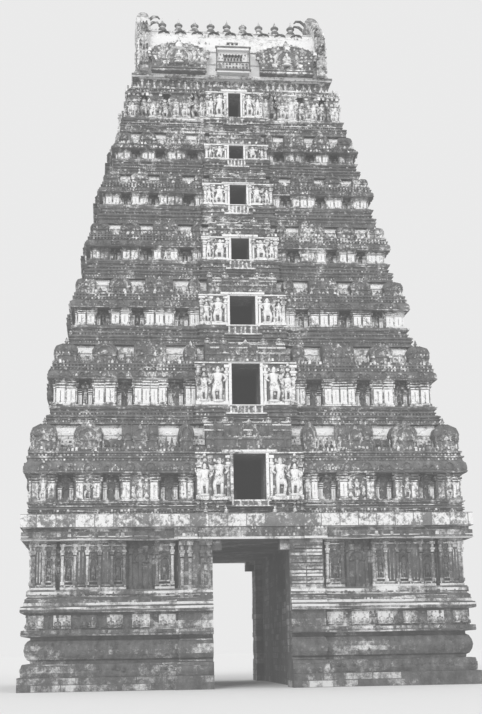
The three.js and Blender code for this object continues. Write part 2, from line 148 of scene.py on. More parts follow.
def all_round(make):
    """What make(True) gives, on the front and the back, and what make(False) gives, on the two ends."""
    return merged([front_and_back(make(True)), two_sides(make(False))])


def split(quads):
    return [t for a, b, c, d in quads for t in ((a, b, c), (a, c, d))]


# A block has no back, which is always in the wall.
BOX_FACES = split([(1, 2, 6, 5), (2, 3, 7, 6), (3, 0, 4, 7), (4, 5, 6, 7), (3, 2, 1, 0)])


def box(x0, x1, y0, y1, z0, z1, paint=1.0, drawn_in=0.0):
    """A block whose top is drawn in at both ends and at the front."""
    d = drawn_in
    low = [(x0, y0, z0), (x1, y0, z0), (x1, y1, z0), (x0, y1, z0)]
    high = [(x0 + d, y0, z1), (x1 - d, y0, z1), (x1 - d, y1 - d, z1), (x0 + d, y1 - d, z1)]
    return form(low + high, BOX_FACES, paint)


def skin(rings, paint=1.0, smooth=True):
    """Triangles between rings of points, each a closed loop or a single point."""
    faces, start = [], 0
    for lower, upper in zip(rings, rings[1:]):
        a, b = len(lower), len(upper)
        for i in range(max(a, b)):
            j = (i + 1) % max(a, b)
            p, q = start + i % a, start + j % a
            r, s = start + a + i % b, start + a + j % b
            if a > 1:
                faces.append((p, q, s if b > 1 else r))
            if b > 1:
                faces.append((p, s, r))
        start += a
    return form(np.concatenate(rings), faces, paint, smooth)


def loop(sides):
    t = np.arange(sides) * 2 * math.pi / sides
    return np.stack([np.cos(t), np.sin(t)], 1)


def stack(levels, sides, paint=1.0):
    """Upright elliptical sections (z, half width, half depth, middle x, middle y), closed at both ends."""
    circle = loop(sides)
    rings = []
    for z, rx, ry, *middle in levels:
        cx, cy = middle or (0, 0)
        rings.append(np.column_stack([cx + rx * circle[:, 0], cy + ry * circle[:, 1], np.full(sides, z)]))
    return skin([rings[0].mean(0, keepdims=True), *rings, rings[-1].mean(0, keepdims=True)], paint)


def limb(points, radii, sides, paint=1.0):
    """A tube through the points, with its own radius at each."""
    points = np.array(points, float)
    tangents = np.gradient(points, axis=0)
    tangents /= np.linalg.norm(tangents, axis=1)[:, None]
    circle = loop(sides)
    rings = [points[:1]]
    for p, t, r in zip(points, tangents, radii):
        u = np.cross((0, 1, 0) if abs(t[1]) < 0.9 else (1, 0, 0), t)
        u /= np.linalg.norm(u)
        rings.append(p + r * (circle[:, :1] * u + circle[:, 1:] * np.cross(t, u)))
    return skin([*rings, points[-1:]], paint)


def lathe(profile, sides, paint=1.0):
    return stack([(z, r, r) for r, z in profile], sides, paint)


def outward(outline):
    """The outline's points in the order whose face looks along +y."""
    outline = np.array(outline, float)
    x, z = outline.T
    area = np.sum(x * np.roll(z, -1) - np.roll(x, -1) * z)
    return outline[::-1] if area > 0 else outline


def upright(line, y):
    """The points of a line of (x, z), all at one y."""
    line = np.array(line, float)
    return np.column_stack([line[:, 0], np.full(len(line), y), line[:, 1]])


def plate(outline, y0, y1, paint=1.0, crown=0.0):
    """A flat shape with a rim from y0 to y1; its middle stands crown further out."""
    edge = outward(outline)
    middle = np.array([[edge[:, 0].mean(), y1 + crown, edge[:, 1].mean()]])
    return skin([upright(edge, y0), upright(edge, y1), middle], paint, smooth=False)


def arch_band(inner, outer, y0, y1, paint=1.0):
    """A band between two open lines of (x, z), with a rounded face."""
    n = len(inner)
    middle = (np.array(inner) + np.array(outer)) / 2
    points = np.concatenate([upright(outer, y0), upright(middle, y1), upright(inner, y0)])
    quads = [(r + i, r + i + 1, r + n + i + 1, r + n + i) for r in (0, n) for i in range(n - 1)]
    a, b, c, _ = points[list(quads[n - 1])]
    if np.cross(b - a, c - a)[1] < 0:
        quads = [q[::-1] for q in quads]
    return form(points, split(quads), paint)


def sweep(path, profile, z0, height):
    """A moulding along a path of (x, y, mitre x, mitre y), with a profile of (out, share of height, paint).

    Its line wavers a little, and its paint is worn away in patches.
    """
    steps = []
    for start, end in zip(path, path[1:]):
        count = max(1, round(math.dist(start[:2], end[:2]) / WEAR_PITCH))
        steps += [np.array(start) + (np.array(end) - start) * i / count for i in range(count)]
    x, y, mitre_x, mitre_y = np.array([*steps, path[-1]], float).T
    n = len(x)
    quads = split([(i, n + i, n + i + 1, i + 1) for i in range(n - 1)])
    rows = []
    for out, share, _ in profile:
        waver = rng.uniform(-WAVER, WAVER / 2, n) * (np.arange(n) % (n - 1) > 0)
        lift = z0 + share * height + rng.uniform(-WAVER, WAVER, n) * 0.4
        rows.append(np.column_stack([x + mitre_x * (out + waver), y + mitre_y * (out + waver), lift]))
    forms = []
    for low, high, (_, _, paint) in zip(rows, rows[1:], profile[1:]):
        points, faces, _, smooth = form(np.concatenate([low, high]), quads)
        patches = np.clip(paint * rng.uniform(0.35, 1.65, n), 0, 1)
        forms.append((points, faces, np.concatenate([patches, patches]), smooth))
    return merged(forms)


def wing_path(x0, x1, reach):
    """From the middle bay's edge to the corner, where it meets the next side at a mitre."""
    return [(x0, reach, 0, 1), (x1, reach, 1, 1)]


def bay_path(half, back, reach):
    return [(-half, back, -1, 0), (-half, reach, -1, 1), (half, reach, 1, 1), (half, back, 1, 0)]


# Figures, one unit high, with their backs at y 0. The fine grade is for the guardians beside the windows.
def lump(x, y, z, rx, ry, rz):
    """A small rounded lump of eight faces."""
    return stack([(z - rz, 0.0, 0.0, x, y), (z, rx, ry, x, y), (z + rz, 0.0, 0.0, x, y)], 4)


def standing_figure(raised, bend, fine=False):
    """A crowned figure on a lotus foot, one arm raised or both lowered, the other pair of arms held up."""
    around, round_limb = (8, 6) if fine else (5, 4)
    torso = [(0.3, 0.1, 0.05, 0.01), (0.42, 0.115, 0.07, 0), (0.55, 0.1, 0.065, 0), (0.6, 0.082, 0.057, 0),
             (0.73, 0.115, 0.07, 0), (0.79, 0.13, 0.06, 0), (0.815, 0.06, 0.04, 0)]
    head = [(0.81, 0.03, 0.03), (0.84, 0.046, 0.05), (0.9, 0.046, 0.05), (0.92, 0.03, 0.03)]
    crown = [(0.885, 0.056, 0.055), (0.91, 0.06, 0.06), (0.955, 0.042, 0.04), (1.0, 0.006, 0.006)]
    if fine:
        head[1:3] = [(0.83, 0.042, 0.044), (0.865, 0.048, 0.052), (0.9, 0.043, 0.046)]
        crown[2:2] = [(0.918, 0.044, 0.044), (0.94, 0.046, 0.044)]
    legs = [[(0.055 + bend, 0.03, 0.05), (0.085 + bend, 0.05, 0.28), (0.05, 0.02, 0.5)],
            [(-0.06, 0.02, 0.05), (-0.06, 0.03, 0.28), (-0.05, 0.02, 0.5)]]
    forms = [
        stack([(0, 0.17, 0.11), (0.035, 0.13, 0.08), (0.06, 0.15, 0.1)], around),
        *(limb(leg, [0.034, 0.042, 0.062], round_limb) for leg in legs),
        stack([(*section, 0.02) for section in torso], around),
        lump(0, 0.08, 0.48, 0.05, 0.035, 0.09),
        stack([(*section, 0, 0.03) for section in head], around),
        stack([(*section, 0, 0.025) for section in crown], around),
    ]
    for side in (-1, 1):
        shoulder, elbow = (side * 0.135, 0.02, 0.775), (side * 0.19, 0.03, 0.64)
        hand = (side * 0.2, 0.09, 0.77) if raised and side > 0 else (side * 0.13, 0.1, 0.57)
        second = [shoulder, (side * 0.21, 0.0, 0.7), (side * 0.23, 0.03, 0.8)]
        forms += [
            limb([shoulder, elbow, hand], [0.036, 0.03, 0.024], round_limb),
            lump(side * 0.068, 0.03, 0.86, 0.016, 0.02, 0.035),
            limb(second, [0.03, 0.026, 0.022], round_limb),
            lump(side * 0.235, 0.03, 0.83, 0.024, 0.02, 0.035),
        ]
    return merged(forms)


def seated_figure():
    """A crowned figure that sits with folded legs."""
    forms = [stack(levels, 6) for levels in (
        [(0, 0.34, 0.2), (0.05, 0.37, 0.22), (0.12, 0.33, 0.2)],
        [(0.12, 0.2, 0.14), (0.36, 0.14, 0.11), (0.54, 0.2, 0.12), (0.66, 0.08, 0.06)],
        [(0.64, 0.05, 0.05), (0.7, 0.085, 0.085), (0.79, 0.085, 0.085), (0.83, 0.11, 0.1), (0.9, 0.07, 0.07),
         (1.0, 0.01, 0.01)],
    )]
    for side in (-1, 1):
        for points, radii in (
            ([(0.1, 0.06, 0.2), (0.32, 0.14, 0.18), (0.1, 0.24, 0.16)], [0.09, 0.075, 0.05]),
            ([(0.2, 0.02, 0.56), (0.28, 0.08, 0.38), (0.2, 0.2, 0.28)], [0.055, 0.045, 0.04]),
        ):
            forms.append(limb([(side * x, y, z) for x, y, z in points], radii, 4))
    return merged(forms)


def arch_line(half, z0, rise, steps, flare=0.12):
    """A horseshoe line from foot to foot, a little wider than its feet."""
    t = np.linspace(-0.14, 1.14, steps + 1) * math.pi
    x = half * np.cos(t) * (1 + flare * np.sin(np.clip(t, 0, math.pi)))
    return np.column_stack([x, z0 + rise * 0.35 + rise * 0.65 * np.sin(t)])


def kudu(steps=12):
    """A horseshoe gable with a boss inside and a leaf on top, one unit wide and about one high."""
    curl = plate([(0.36, 0.0), (0.56, 0.02), (0.6, 0.14), (0.4, 0.2)], 0.02, 0.16)
    return merged([
        plate(arch_line(0.42, 0.0, 0.86, steps), 0, 0.06, 0.35),
        arch_band(arch_line(0.33, 0.06, 0.7, steps), arch_line(0.47, 0.0, 0.9, steps), 0.02, 0.2),
        plate(loop(6) * (0.17, 0.22) + (0, 0.36), 0.05, 0.12, 0.9, crown=0.08),
        plate([(-0.1, 0.84), (0.1, 0.84), (0.13, 0.95), (0.0, 1.15), (-0.13, 0.95)], 0.02, 0.14),
        curl,
        mirrored(curl),
    ])


def pilaster(width, height, out, paint):
    """A flat shaft with a foot, a cushion, an abacus and a bracket."""
    w = width / 2
    rows = [(0, 0.08, 1.3, 1.25), (0.08, 0.7, 0.8, 0.75), (0.73, 0.79, 1.15, 1.15), (0.79, 0.84, 1.55, 1.5),
            (0.84, 0.93, 0.85, 0.9), (0.93, 1.0, 1.75, 1.35)]
    return merged([
        box(-w * k, w * k, -0.02, out * deep, z0 * height, z1 * height, paint) for z0, z1, k, deep in rows
    ])


def niche_frame(width, height, depth, paint):
    """Two slim posts and an arched head round a near-black back plate, which is painted shade for the niche's
    depth.
    """
    w = width / 2
    post = width * 0.12
    arch_in = arch_line(w * 0.62, height * 0.66, height * 0.3, 8)
    arch_out = arch_line(w * 0.98, height * 0.64, height * 0.4, 8)
    foot, head = height * 0.06, height * 0.68
    return merged([
        # Painted shade: the near-black plate (paint 0.02) stands for the shade deep in the niche.
        box(-w, w, 0, 0.02, 0, height * 0.9, 0.02),
        box(-w, w, 0, depth * 1.2, 0, foot, paint),
        box(-w, -w + post, 0, depth, foot, head, paint),
        box(w - post, w, 0, depth, foot, head, paint),
        arch_band(arch_in, arch_out, 0.01, depth * 1.3, paint),
    ])


def bits():
    """Small worn ornaments about one unit wide and high: a leaf, a boss, a bud and a block."""
    studs = []
    for outline in (
        [(-0.45, 0), (0.45, 0), (0.4, 0.45), (0, 1.1), (-0.4, 0.45)],
        loop(6) * 0.45 + (0, 0.5),
        [(-0.3, 0), (0.3, 0), (0.42, 0.5), (0, 0.95), (-0.42, 0.5)],
    ):
        edge = outward(outline)
        studs.append(skin([upright(edge, 0), [(0.0, 0.5, edge[:, 1].mean())]], smooth=False))
    return studs + [box(-0.42, 0.42, 0, 0.4, 0.05, 0.8, 1.0, 0.08)]


POSES = [(True, 0.03), (False, 0.0), (True, -0.02)]
STANDING = [standing_figure(*pose) for pose in POSES]
GUARDIANS = [standing_figure(*pose, fine=True) for pose in POSES]
SEATED = seated_figure()
STUPI = lathe([(0.32, 0), (0.14, 0.16), (0.32, 0.36), (0.14, 0.56), (0.18, 0.66), (0.015, 1.0)], 5)
KUDU, KUDU_SMALL = kudu(), kudu(6)
BITS = bits()
LEAF, BOSS = BITS[:2]


def figure(kind, x, y, z, height, paint, wide=1.0):
    """A standing figure of the given kind, or a seated one if the kind is below 0."""
    shape = STANDING[kind % 3] if kind >= 0 else SEATED
    grown = height * (1 + 0.06 * (rng.random() - 0.5))
    return placed(shape, x, y, z, (grown * wide, height, grown), paint)


def scatter(x0, x1, y, z, size, paint, fill, tall=1.0):
    """A worn row of small ornaments: sizes and paint vary, and a few are lost."""
    count = max(1, int((x1 - x0) / (size * 1.15)))
    forms = []
    for i in range(count):
        if rng.random() > fill:
            continue
        wide = size * rng.uniform(0.75, 1.15)
        grown = (wide, size * rng.uniform(0.5, 0.9), size * tall * rng.uniform(0.7, 1.25))
        x = x0 + (i + 0.5 + 0.2 * (rng.random() - 0.5)) * (x1 - x0) / count
        stud = BITS[rng.integers(len(BITS))]
        forms.append(placed(stud, x, y, z, grown, min(1, paint * rng.uniform(0.5, 1.7))))
    return forms


def row(shape, x0, x1, count, y, z, scale=1.0, paint=1.0):
    return [placed(shape, x, y, z, scale, paint) for x in np.linspace(x0, x1, count)]


def worn_bit(kinds, x, y, z, size, least, most):
    """One of the first few small ornaments, with its size and paint left to chance."""
    return placed(BITS[rng.integers(kinds)], x, y, z, size * rng.uniform(0.7, 1.2), rng.uniform(least, most))


# The storeys, zone by zone, on one side.
def reach_and_length(half, front):
    """How far a side is from the axis, and half its length, for a block of the given half width."""
    deep = half - DEPTH_LESS
    return (deep, half) if front else (half, deep)


def side_of(storey, front):
    """A storey's own sizes, and where the ledges, walls, eaves, piers and recesses of one side stand."""
    reach, length = reach_and_length(storey.half, front)
    end, face = length - PIER, reach - PIER
    corner = (storey.half - PIER) * CORNER_SHARE
    bay_half = storey.bay / 2 if front else length * SIDE_BAY_SHARE
    piers = [(a * end, b * end, out, kind) for a, b, out, kind in (FRONT_PIERS if front else SIDE_PIERS)]
    all_piers = [(a, b, face + out, kind) for a, b, out, kind in piers]
    all_piers.append((end - corner, end, face, "corner"))
    edges = sorted((a, b) for a, b, _, _ in all_piers)
    starts = [bay_half] + [b for _, b in edges]
    ledge_in = FIRST_LEDGE_IN if storey is STOREYS[0] else 0.0
    eave_in = 0.0 if storey.parapet else LAST_EAVE_IN
    wall_foot = storey.foot + storey.ledge
    cornice_foot = wall_foot + storey.wall
    return SimpleNamespace(
        **storey._asdict(), front=front, reach=reach, length=length, bay_half=bay_half, corner=corner,
        piers=piers, all_piers=all_piers, ledge_in=ledge_in, eave_in=eave_in,
        recesses=[(x0, x1) for x0, (x1, _) in zip(starts, edges) if x1 - x0 > 0.25],
        ledge_face=reach - ledge_in, eave_face=reach - eave_in, pier_face=face, wall_face=reach - WALL,
        wall_foot=wall_foot, cornice_foot=cornice_foot, top=cornice_foot + storey.cornice,
    )


def drum_of(side):
    """How far the next storey's drum is from the axis on this side, and half its length."""
    above = next(storey for storey in STOREYS if storey.foot > side.foot)
    return reach_and_length(above.half - DRUM, side.front)


# Profiles are rows of (out, share of height, paint). Rows set back in grooves and rows under a projection
# have darker paint, as painted shade; the patchy wear that sweep adds on top is real.
LEDGE_PROFILE = [
    (0.0, 0.0, 0), (0.08, 0.0, 0.9), (0.08, 0.09, 0.9), (0.03, 0.1, 0.5), (0.03, 0.15, 0.5), (0.07, 0.2, 0.8),
    (0.12, 0.25, 0.9), (0.12, 0.29, 1.0), (0.04, 0.3, 0.4), (0.04, 0.33, 0.4), (0.09, 0.36, 0.9),
    (0.13, 0.4, 1.0), (0.09, 0.45, 0.9), (0.03, 0.48, 0.6), (-0.13, 0.5, 0.7), (-0.13, 0.6, 0.35),
    (-0.05, 0.62, 0.9), (-0.05, 0.67, 1.1), (-0.13, 0.68, 0.3), (-0.13, 0.78, 0.35), (-0.06, 0.8, 0.7),
    (-0.02, 0.85, 1.0), (0.01, 0.91, 1.1), (0.01, 0.95, 1.2), (-0.1, 0.97, 0.6), (-0.1, 1.0, 0.6),
    (-0.45, 1.0, 0.6),
]
KAPOTA_PROFILE = [
    (-0.36, -0.03, 0), (0.0, -0.03, 0.3), (0.03, -0.05, 0.4), (0.06, 0.0, 1.5), (0.06, 0.04, 1.3),
    (0.03, 0.06, 0.5), (0.05, 0.13, 0.9), (0.04, 0.26, 0.8), (0.01, 0.38, 0.7), (-0.07, 0.47, 0.6),
    (-0.11, 0.52, 0.6), (-0.12, 0.64, 0.35), (-0.04, 0.66, 1.2), (-0.04, 0.72, 1.4), (-0.16, 0.74, 0.4),
    (-0.19, 0.86, 0.4), (-0.11, 0.88, 1.3), (-0.11, 0.97, 1.2), (-0.45, 1.0, 0.7),
]
STRIP_PROFILE = [
    (0.0, 0.0, 0), (0.03, 0.12, 0.3), (0.03, 0.28, 0.4), (0.1, 0.3, 0.8), (0.1, 0.5, 0.8), (0.04, 0.52, 0.5),
    (0.04, 0.6, 0.9), (0.1, 0.63, 1.3), (0.1, 0.88, 1.3), (0.04, 0.9, 1.1), (0.04, 0.97, 1.1), (0, 1, 1),
]
WALL_PROFILE = [
    (0.0, 0.0, 0), (0.1, 0.0, 0.5), (0.1, 0.05, 0.7), (0.06, 0.07, 0.5), (0.06, 0.1, 0.5), (0.02, 0.12, 0.3),
    (0.02, 0.86, 0.4), (0.06, 0.88, 0.6), (0.06, 0.91, 0.7), (0.02, 0.93, 0.3), (0.12, 0.96, 0.6),
    (0.12, 1.0, 0.6),
]


def tinted(profile, tone):
    return [(out, h, min(1.0, paint * tone)) for out, h, paint in profile]


def storey_mouldings(side, tone):
    """The base ledge's mouldings, the lines on the wall and the curved eave."""
    reach, length, bay = side.reach, side.length, side.bay_half
    ledge = tinted(LEDGE_PROFILE, tone.ledge)
    flat_ledge = [(out + UPPER_LEDGE * (h > 0.48), h, paint) for out, h, paint in ledge]
    eave = [(out - side.eave_in, h, paint) for out, h, paint in tinted(KAPOTA_PROFILE, tone.cornice)]
    ledge_zone, eave_zone = (side.foot, side.ledge), (side.cornice_foot, side.cornice)
    forms = [both_halves([sweep(wing_path(bay, end, out), profile, *zone)]) for end, out, profile, zone in (
        (length - side.ledge_in, side.ledge_face, flat_ledge if side.ledge_in else ledge, ledge_zone),
        (length - WALL, side.wall_face, tinted(WALL_PROFILE, 0.55), (side.wall_foot, side.wall)),
        (length, reach, eave, eave_zone),
    )]
    bay_face = side.ledge_face + (BAY_LEDGE if side.front else 0.02)
    forms.append(sweep(bay_path(bay, reach - 0.6, bay_face), flat_ledge, *ledge_zone))
    if not side.front and side.parapet:
        # An end bay's block is drawn in less than the eave, and the lowest one reaches the tower's own width.
        most_out = -0.01 if side.ledge_in else 0.12
        end_eave = [(min(out + 0.2 * h, most_out), h, paint) for out, h, paint in eave]
        forms.append(sweep(bay_path(bay + 0.1, reach - 0.4, reach + SIDE_CORNICE), end_eave, *eave_zone))
    return merged(forms)


def storey_strip(side, tone):
    """The limewashed strip behind the pavilions, with what is left of its carving. Its paint is raised by a
    quarter and it takes a whiter limewash, as painted light that lifts the shade it stands in under the next
    ledge.
    """
    reach, length = drum_of(side)
    # Painted light: the extra quarter of paint whitens the strip beyond its real limewash, against the shade
    # of the recess.
    strip = [(out, h, paint * tone.strip * 1.25) for out, h, paint in STRIP_PROFILE]
    forms = [sweep(wing_path(0, length, reach), strip, side.top, side.parapet)]
    for share, size, paint in ((0.25, 0.2, 0.5), (0.36, 0.15, 0.2), (0.46, 0.15, 1.0), (0.64, 0.2, 1.3)):
        forms += scatter(0.1, length - 0.2, reach + 0.07, side.top + side.parapet * share, size, paint, 0.65)
    return both_halves(forms)


def dentils(x0, x1, y, z, size, paint):
    count = max(2, int((x1 - x0) / (2 * size)))
    block = box(-size / 2, size / 2, -0.05, size * 0.8, 0, size, paint)
    spots = np.linspace(x0 + size, x1 - size, count)
    return [placed(block, x, y, z, 1.0, rng.uniform(0.5, 1.2)) for x in spots]


def column(width, height, paint):
    """A broad flat column with its foot, neck, cushion, abacus and bracket."""
    w = width / 2
    # The last row is a slim dark stripe down the shaft, painted shade that stands for a slot.
    rows = [
        (0, 0.08, 1.0, 0.11, 0.9), (0.08, 0.67, 0.86, 0.075, 1.25), (0.71, 0.76, 0.97, 0.1, 1.1),
        (0.83, 0.88, 1.04, 0.13, 0.8), (0.94, 1.0, 1.04, 0.13, 0.6), (0.16, 0.58, 0.06, 0.075, 0.5),
    ]
    return merged([
        box(-w * k, w * k, 0, out, z0 * height, z1 * height, paint * shade) for z0, z1, k, out, shade in rows
    ])


def pier_front(width, height, tone):
    """A pier's face: a close row of whitewashed columns with dark slots, whose darkness is painted shade.

    On some storeys a carved figure stands in the middle, the first has panels of scrolls and the last has
    figures in place of columns.
    """
    w = width / 2
    paint = tone.panel
    forms = [
        # Painted shade: the back plate at half the panel's paint darkens the slots between the columns.
        box(-w, w, -0.02, 0.015, 0, height, paint * 0.5),
        box(-w - 0.03, w + 0.03, 0, 0.1, 0, 0.05 * height, paint * 0.75),
        box(-w - 0.04, w + 0.04, 0, 0.15, 0.95 * height, height, paint * 0.6),
    ]
    foot, tall = 0.06 * height, height * 0.86
    count = max(2, round(width / 0.42))
    pitch = width / count
    carved_here = tone.relief and count > 2
    panelled, crowd = tone is TONES[0], tone is TONES[-1]
    for i in range(count):
        x = -w + pitch * (i + 0.5)
        if (carved_here and abs(x) < pitch * 0.75) or (panelled and 0 < i < count - 1):
            continue
        shade = paint * rng.uniform(0.72, 1.05)
        if crowd:
            forms.append(figure(i, x, 0.04, foot, tall * rng.uniform(0.72, 0.92), shade, 1.4))
        else:
            forms.append(placed(column(pitch * 0.9, tall * rng.uniform(0.97, 1.03), shade), x, 0, foot))
    if panelled:
        inner = w - pitch * (count > 2)
        for lift in (0.08, 0.24, 0.4, 0.56, 0.72):
            forms += scatter(-inner, inner, 0.02, foot + tall * lift, 0.19, paint * 1.1, 0.85, 1.2)
    if carved_here:
        forms.append(figure(count, 0, 0.03, foot, tall * 0.84, paint * 1.05, 1.3))
        arch = (pitch * 2.2, 0.5, height * 0.2)
        forms.append(placed(KUDU_SMALL, 0, 0.02, height * 0.74, arch, paint * 0.8))
    forms += scatter(-w, w, 0.08, foot * 0.6, 0.12, paint * 0.7, 0.6)
    forms += scatter(-w, w, 0.11, foot + tall * 0.8, 0.09, paint * 0.6, 0.4)
    return merged(forms)


def pier_flank(height, paint):
    """The narrow side of a pier, lined as its face is."""
    rows = [(0, 0.06, 0.1), (0.1, 0.66, 0.03), (0.7, 0.77, 0.08), (0.79, 0.84, 0.1), (0.9, 1.0, 0.08)]
    return merged([box(-0.01, out, -0.26, 0.02, z0 * height, z1 * height, paint) for z0, z1, out in rows])


def storey_walls(side, tone):
    """The piers' faces and flanks, and the rows of dentils and worn ornaments."""
    forms = []
    z, height = side.wall_foot, side.wall
    flank = pier_flank(height, tone.panel * 0.6)
    for a, b, face, kind in side.all_piers:
        forms.append(placed(pier_front(b - a, height, tone), (a + b) / 2, face, z))
        if kind != "corner":
            forms.append(placed(flank, b, face, z))
        forms.append(placed(mirrored(flank), a, face, z))
    back = side.wall_face + 0.02
    shaft = column(0.2, height * 0.6, 0.75)
    for a, b in side.recesses:
        middle, wide = (a + b) / 2, min(0.3, (b - a) * 0.3)
        arch = (wide * 2.2, 0.8, height * 0.26)
        forms.append(placed(KUDU_SMALL, middle, back, z + height * 0.66, arch, 0.45))
        forms += row(shaft, middle - wide, middle + wide, 2, back, z + 0.05, (1, 2.2, 1))
        forms.append(box(a, b, back - 0.02, back + 0.25, z, z + height * 0.06, 0.4))
    start, end = side.bay_half + 0.1, side.length - side.ledge_in - 0.1
    size = 0.08 if side.cornice > 0.5 else 0.055
    light, pale = min(1, tone.cornice * 2.2), tone.ledge * 1.3
    ledge_face, eave_face = side.ledge_face, side.eave_face
    forms += dentils(start, end, ledge_face + 0.02, side.foot + side.ledge * 0.1, size * 0.8, 0.5)
    for out, share in ((-0.12, 0.53), (-0.18, 0.755)):
        forms += dentils(start, end, eave_face + out, side.cornice_foot + side.cornice * share, size, light)
    for back, out, share, *look in (
        (0, 0.02, 0.08, 0.13, light, 0.7), (0, 0.02, 0.27, 0.11, light * 0.8, 0.5),
        (0.1, -0.16, 0.96, 0.15, light, 0.7, 1.3),
    ):
        forms += scatter(start, end - back, eave_face + out, side.cornice_foot + side.cornice * share, *look)
    forms += scatter(start, end, ledge_face + 0.08, side.foot + side.ledge * 0.2, 0.13, pale, 0.6)
    back, level = (0.0 if side.ledge_in else UPPER_LEDGE), side.foot + side.ledge * 0.72
    forms += scatter(start, end - back, ledge_face + 0.02 - back, level, 0.15, pale, 0.6)
    if back:
        level = side.foot + side.ledge * 0.52
        forms += dentils(start, end - 0.1, side.reach - back + 0.02, level, size, tone.ledge * 1.5)
    return both_halves(forms)


def storey_figures(side, tone):
    """Standing figures in the recesses, with small seated ones and broken ornament on the ledge below."""
    forms = []
    z, height, last = side.wall_foot, side.wall, not side.parapet
    tall = height * (0.85 if last else 0.62)
    for n, (a, b) in enumerate(side.recesses):
        count = max(1, round((b - a) / 0.55))
        for i in range(count):
            x = a + (b - a) * (i + 0.5) / count
            size = tall * rng.uniform(0.75, 1.05)
            shade = tone.figure * rng.uniform(0.6, 1.1)
            forms.append(figure(n + i, x, side.wall_face + 0.04, z + 0.1, size, shade, 1.3))
        forms += scatter(a, b, side.wall_face + 0.05, z + height * 0.72, 0.16, 0.45, 0.8)
    start, end = side.bay_half + 0.15, side.length - side.ledge_in - 0.2
    low, face = min(0.34, side.ledge * 0.42), side.pier_face
    count = int((end - start) / (0.5 if last else 0.55))
    for i in range(count):
        x = start + (i + 0.5) * (end - start) / count + 0.12 * (rng.random() - 0.5)
        if last:
            size, y = height * rng.uniform(0.5, 0.9), face + rng.uniform(0.05, 0.16)
            forms.append(figure(i, x, y, z + 0.02, size, rng.uniform(0.5, 1.0), 1.5))
        elif rng.random() < 0.7:
            size, shade = low * rng.uniform(0.6, 0.95), rng.uniform(0.25, 0.8)
            forms.append(figure(-1, x, face + 0.08, z - 0.02, size, shade, 1.25))
    if last:
        for lift, size in ((0.3, 0.26), (0.62, 0.22), (0.86, 0.2)):
            forms += scatter(start, end, face + 0.08, z + height * lift, size, 0.8, 0.75)
        for i in range(int((end - start) / 0.5)):
            x = start + (i + rng.random()) * 0.5
            size, shade = rng.uniform(0.25, 0.4), rng.uniform(0.4, 0.9)
            forms.append(figure(-1, x, side.reach - 0.25, z - 0.4, size, shade, 1.2))
    forms += scatter(start, end, face + 0.04, z + 0.02, 0.16, tone.seat * 0.6, 0.5)
    return both_halves(forms)


def eave_arches(side, tone):
    """Small horseshoe gables on the curved eave, over the piers and the recesses, and pots behind them."""
    height = min(0.42, side.cornice * 0.5)
    light = min(1, tone.cornice * 2.7)
    broad, narrow = (height * 1.2, 0.5, height), (height * 0.7, 0.45, height * 0.62)
    spots = []
    for a, b, _, kind in side.all_piers:
        inset = (b - a) * 0.22
        spots += [(x, broad, 0.4) for x in ((a + inset, b - inset) if kind == "long" else [(a + b) / 2])]
    spots += [(a + (b - a) * share, narrow, 0.3) for a, b in side.recesses for share in (0.3, 0.7)]
    y, z = side.eave_face + 0.04, side.cornice_foot + side.cornice * 0.05
    forms = [placed(KUDU_SMALL, x, y, z, arch, light * rng.uniform(least, 1.0)) for x, arch, least in spots]
    if side.parapet:
        y, z = side.reach - PARAPET - 0.1, side.top + side.parapet * 0.1
        for a, b in side.recesses:
            for x in np.linspace(a + 0.1, b - 0.1, max(2, int((b - a) / 0.24))):
                tall = side.parapet * (0.26 + 0.22 * rng.random())
                forms.append(placed(STUPI, x, y, z, (0.3, 0.3, tall), 0.35 + 0.3 * rng.random()))
    return both_halves(forms)


def pavilion_dressing(width, height, kind, tone):
    """What stands on a small pavilion's face: pilasters, horseshoe gables, worn ornaments and a finial."""
    w, spring, long = width / 2, height * SPRING_SHARE, kind == "long"
    paint = min(1, tone * 2.6)
    forms = [
        box(-w, w, 0, 0.05, spring * 0.86, spring * 1.06, min(1, tone * 1.6)),
        *scatter(-w, w, 0.02, spring * 0.12, 0.15, tone * 2.6, 0.8),
        *scatter(-w, w, 0.05, spring * 1.02, 0.12, tone * 2.4, 0.8),
    ]
    if long:
        forms += scatter(-w * 0.95, w * 0.95, 0.0, height * 0.62, 0.14, tone * 2.4, 0.7)
        forms += scatter(-w * 0.9, w * 0.9, -0.12, height * 0.82, 0.12, tone * 2.4, 0.6)
    shaft = pilaster(min(0.09, width * 0.09), spring * 0.7, 0.05, paint)
    forms += row(shaft, -w * 0.85, w * 0.85, 4 if long else 2, 0.0, spring * 0.2)
    if kind == "arched":
        arch = (width * 0.92, 0.7, (height - spring) * 1.1)
        forms.append(placed(KUDU, 0, 0.0, spring * 0.75, arch, paint))
        forms.append(placed(STUPI, 0, -0.1, height * 0.97, SMALL_POT, 0.4))
    else:
        size = min(width * 0.42, (height - spring) * 1.15)
        forms.append(placed(KUDU, 0, 0.0, spring * 0.8, (size, 0.45, size * 0.95), paint))
        arch = (size * 0.6, 0.45, size * 0.55)
        forms += row(KUDU_SMALL, -w * 0.68, w * 0.68, 2, 0.0, spring * 0.85, arch, paint * 0.8)
    return merged(forms)


def pavilion_curve(depth, height):
    """The points (out, up) over a barrel of the given depth, from its face to its back."""
    spring = height * SPRING_SHARE
    turns = np.linspace(0, math.pi, 9)
    swell = 1 + 0.3 * np.abs(np.sin(2 * turns))
    return list(zip(depth / 2 * np.cos(turns) * swell, spring + (height - spring) * np.sin(turns)))


def broken_lines(width, depth, height, ridge, top):
    """What is left of the limewashed lines along the front slope of the middle bay's barrel."""
    forms = []
    for y, z in pavilion_curve(depth, height)[:4]:
        for x in np.arange(-width / 2, width / 2 - 0.3, 0.45):
            if rng.random() < 0.75:
                line = [(x + end, ridge + y * 1.04, top + z * 1.02) for end in (0, 0.43)]
                forms.append(limb(line, [0.045, 0.045], 4, rng.uniform(0.4, 1.2)))
    return forms


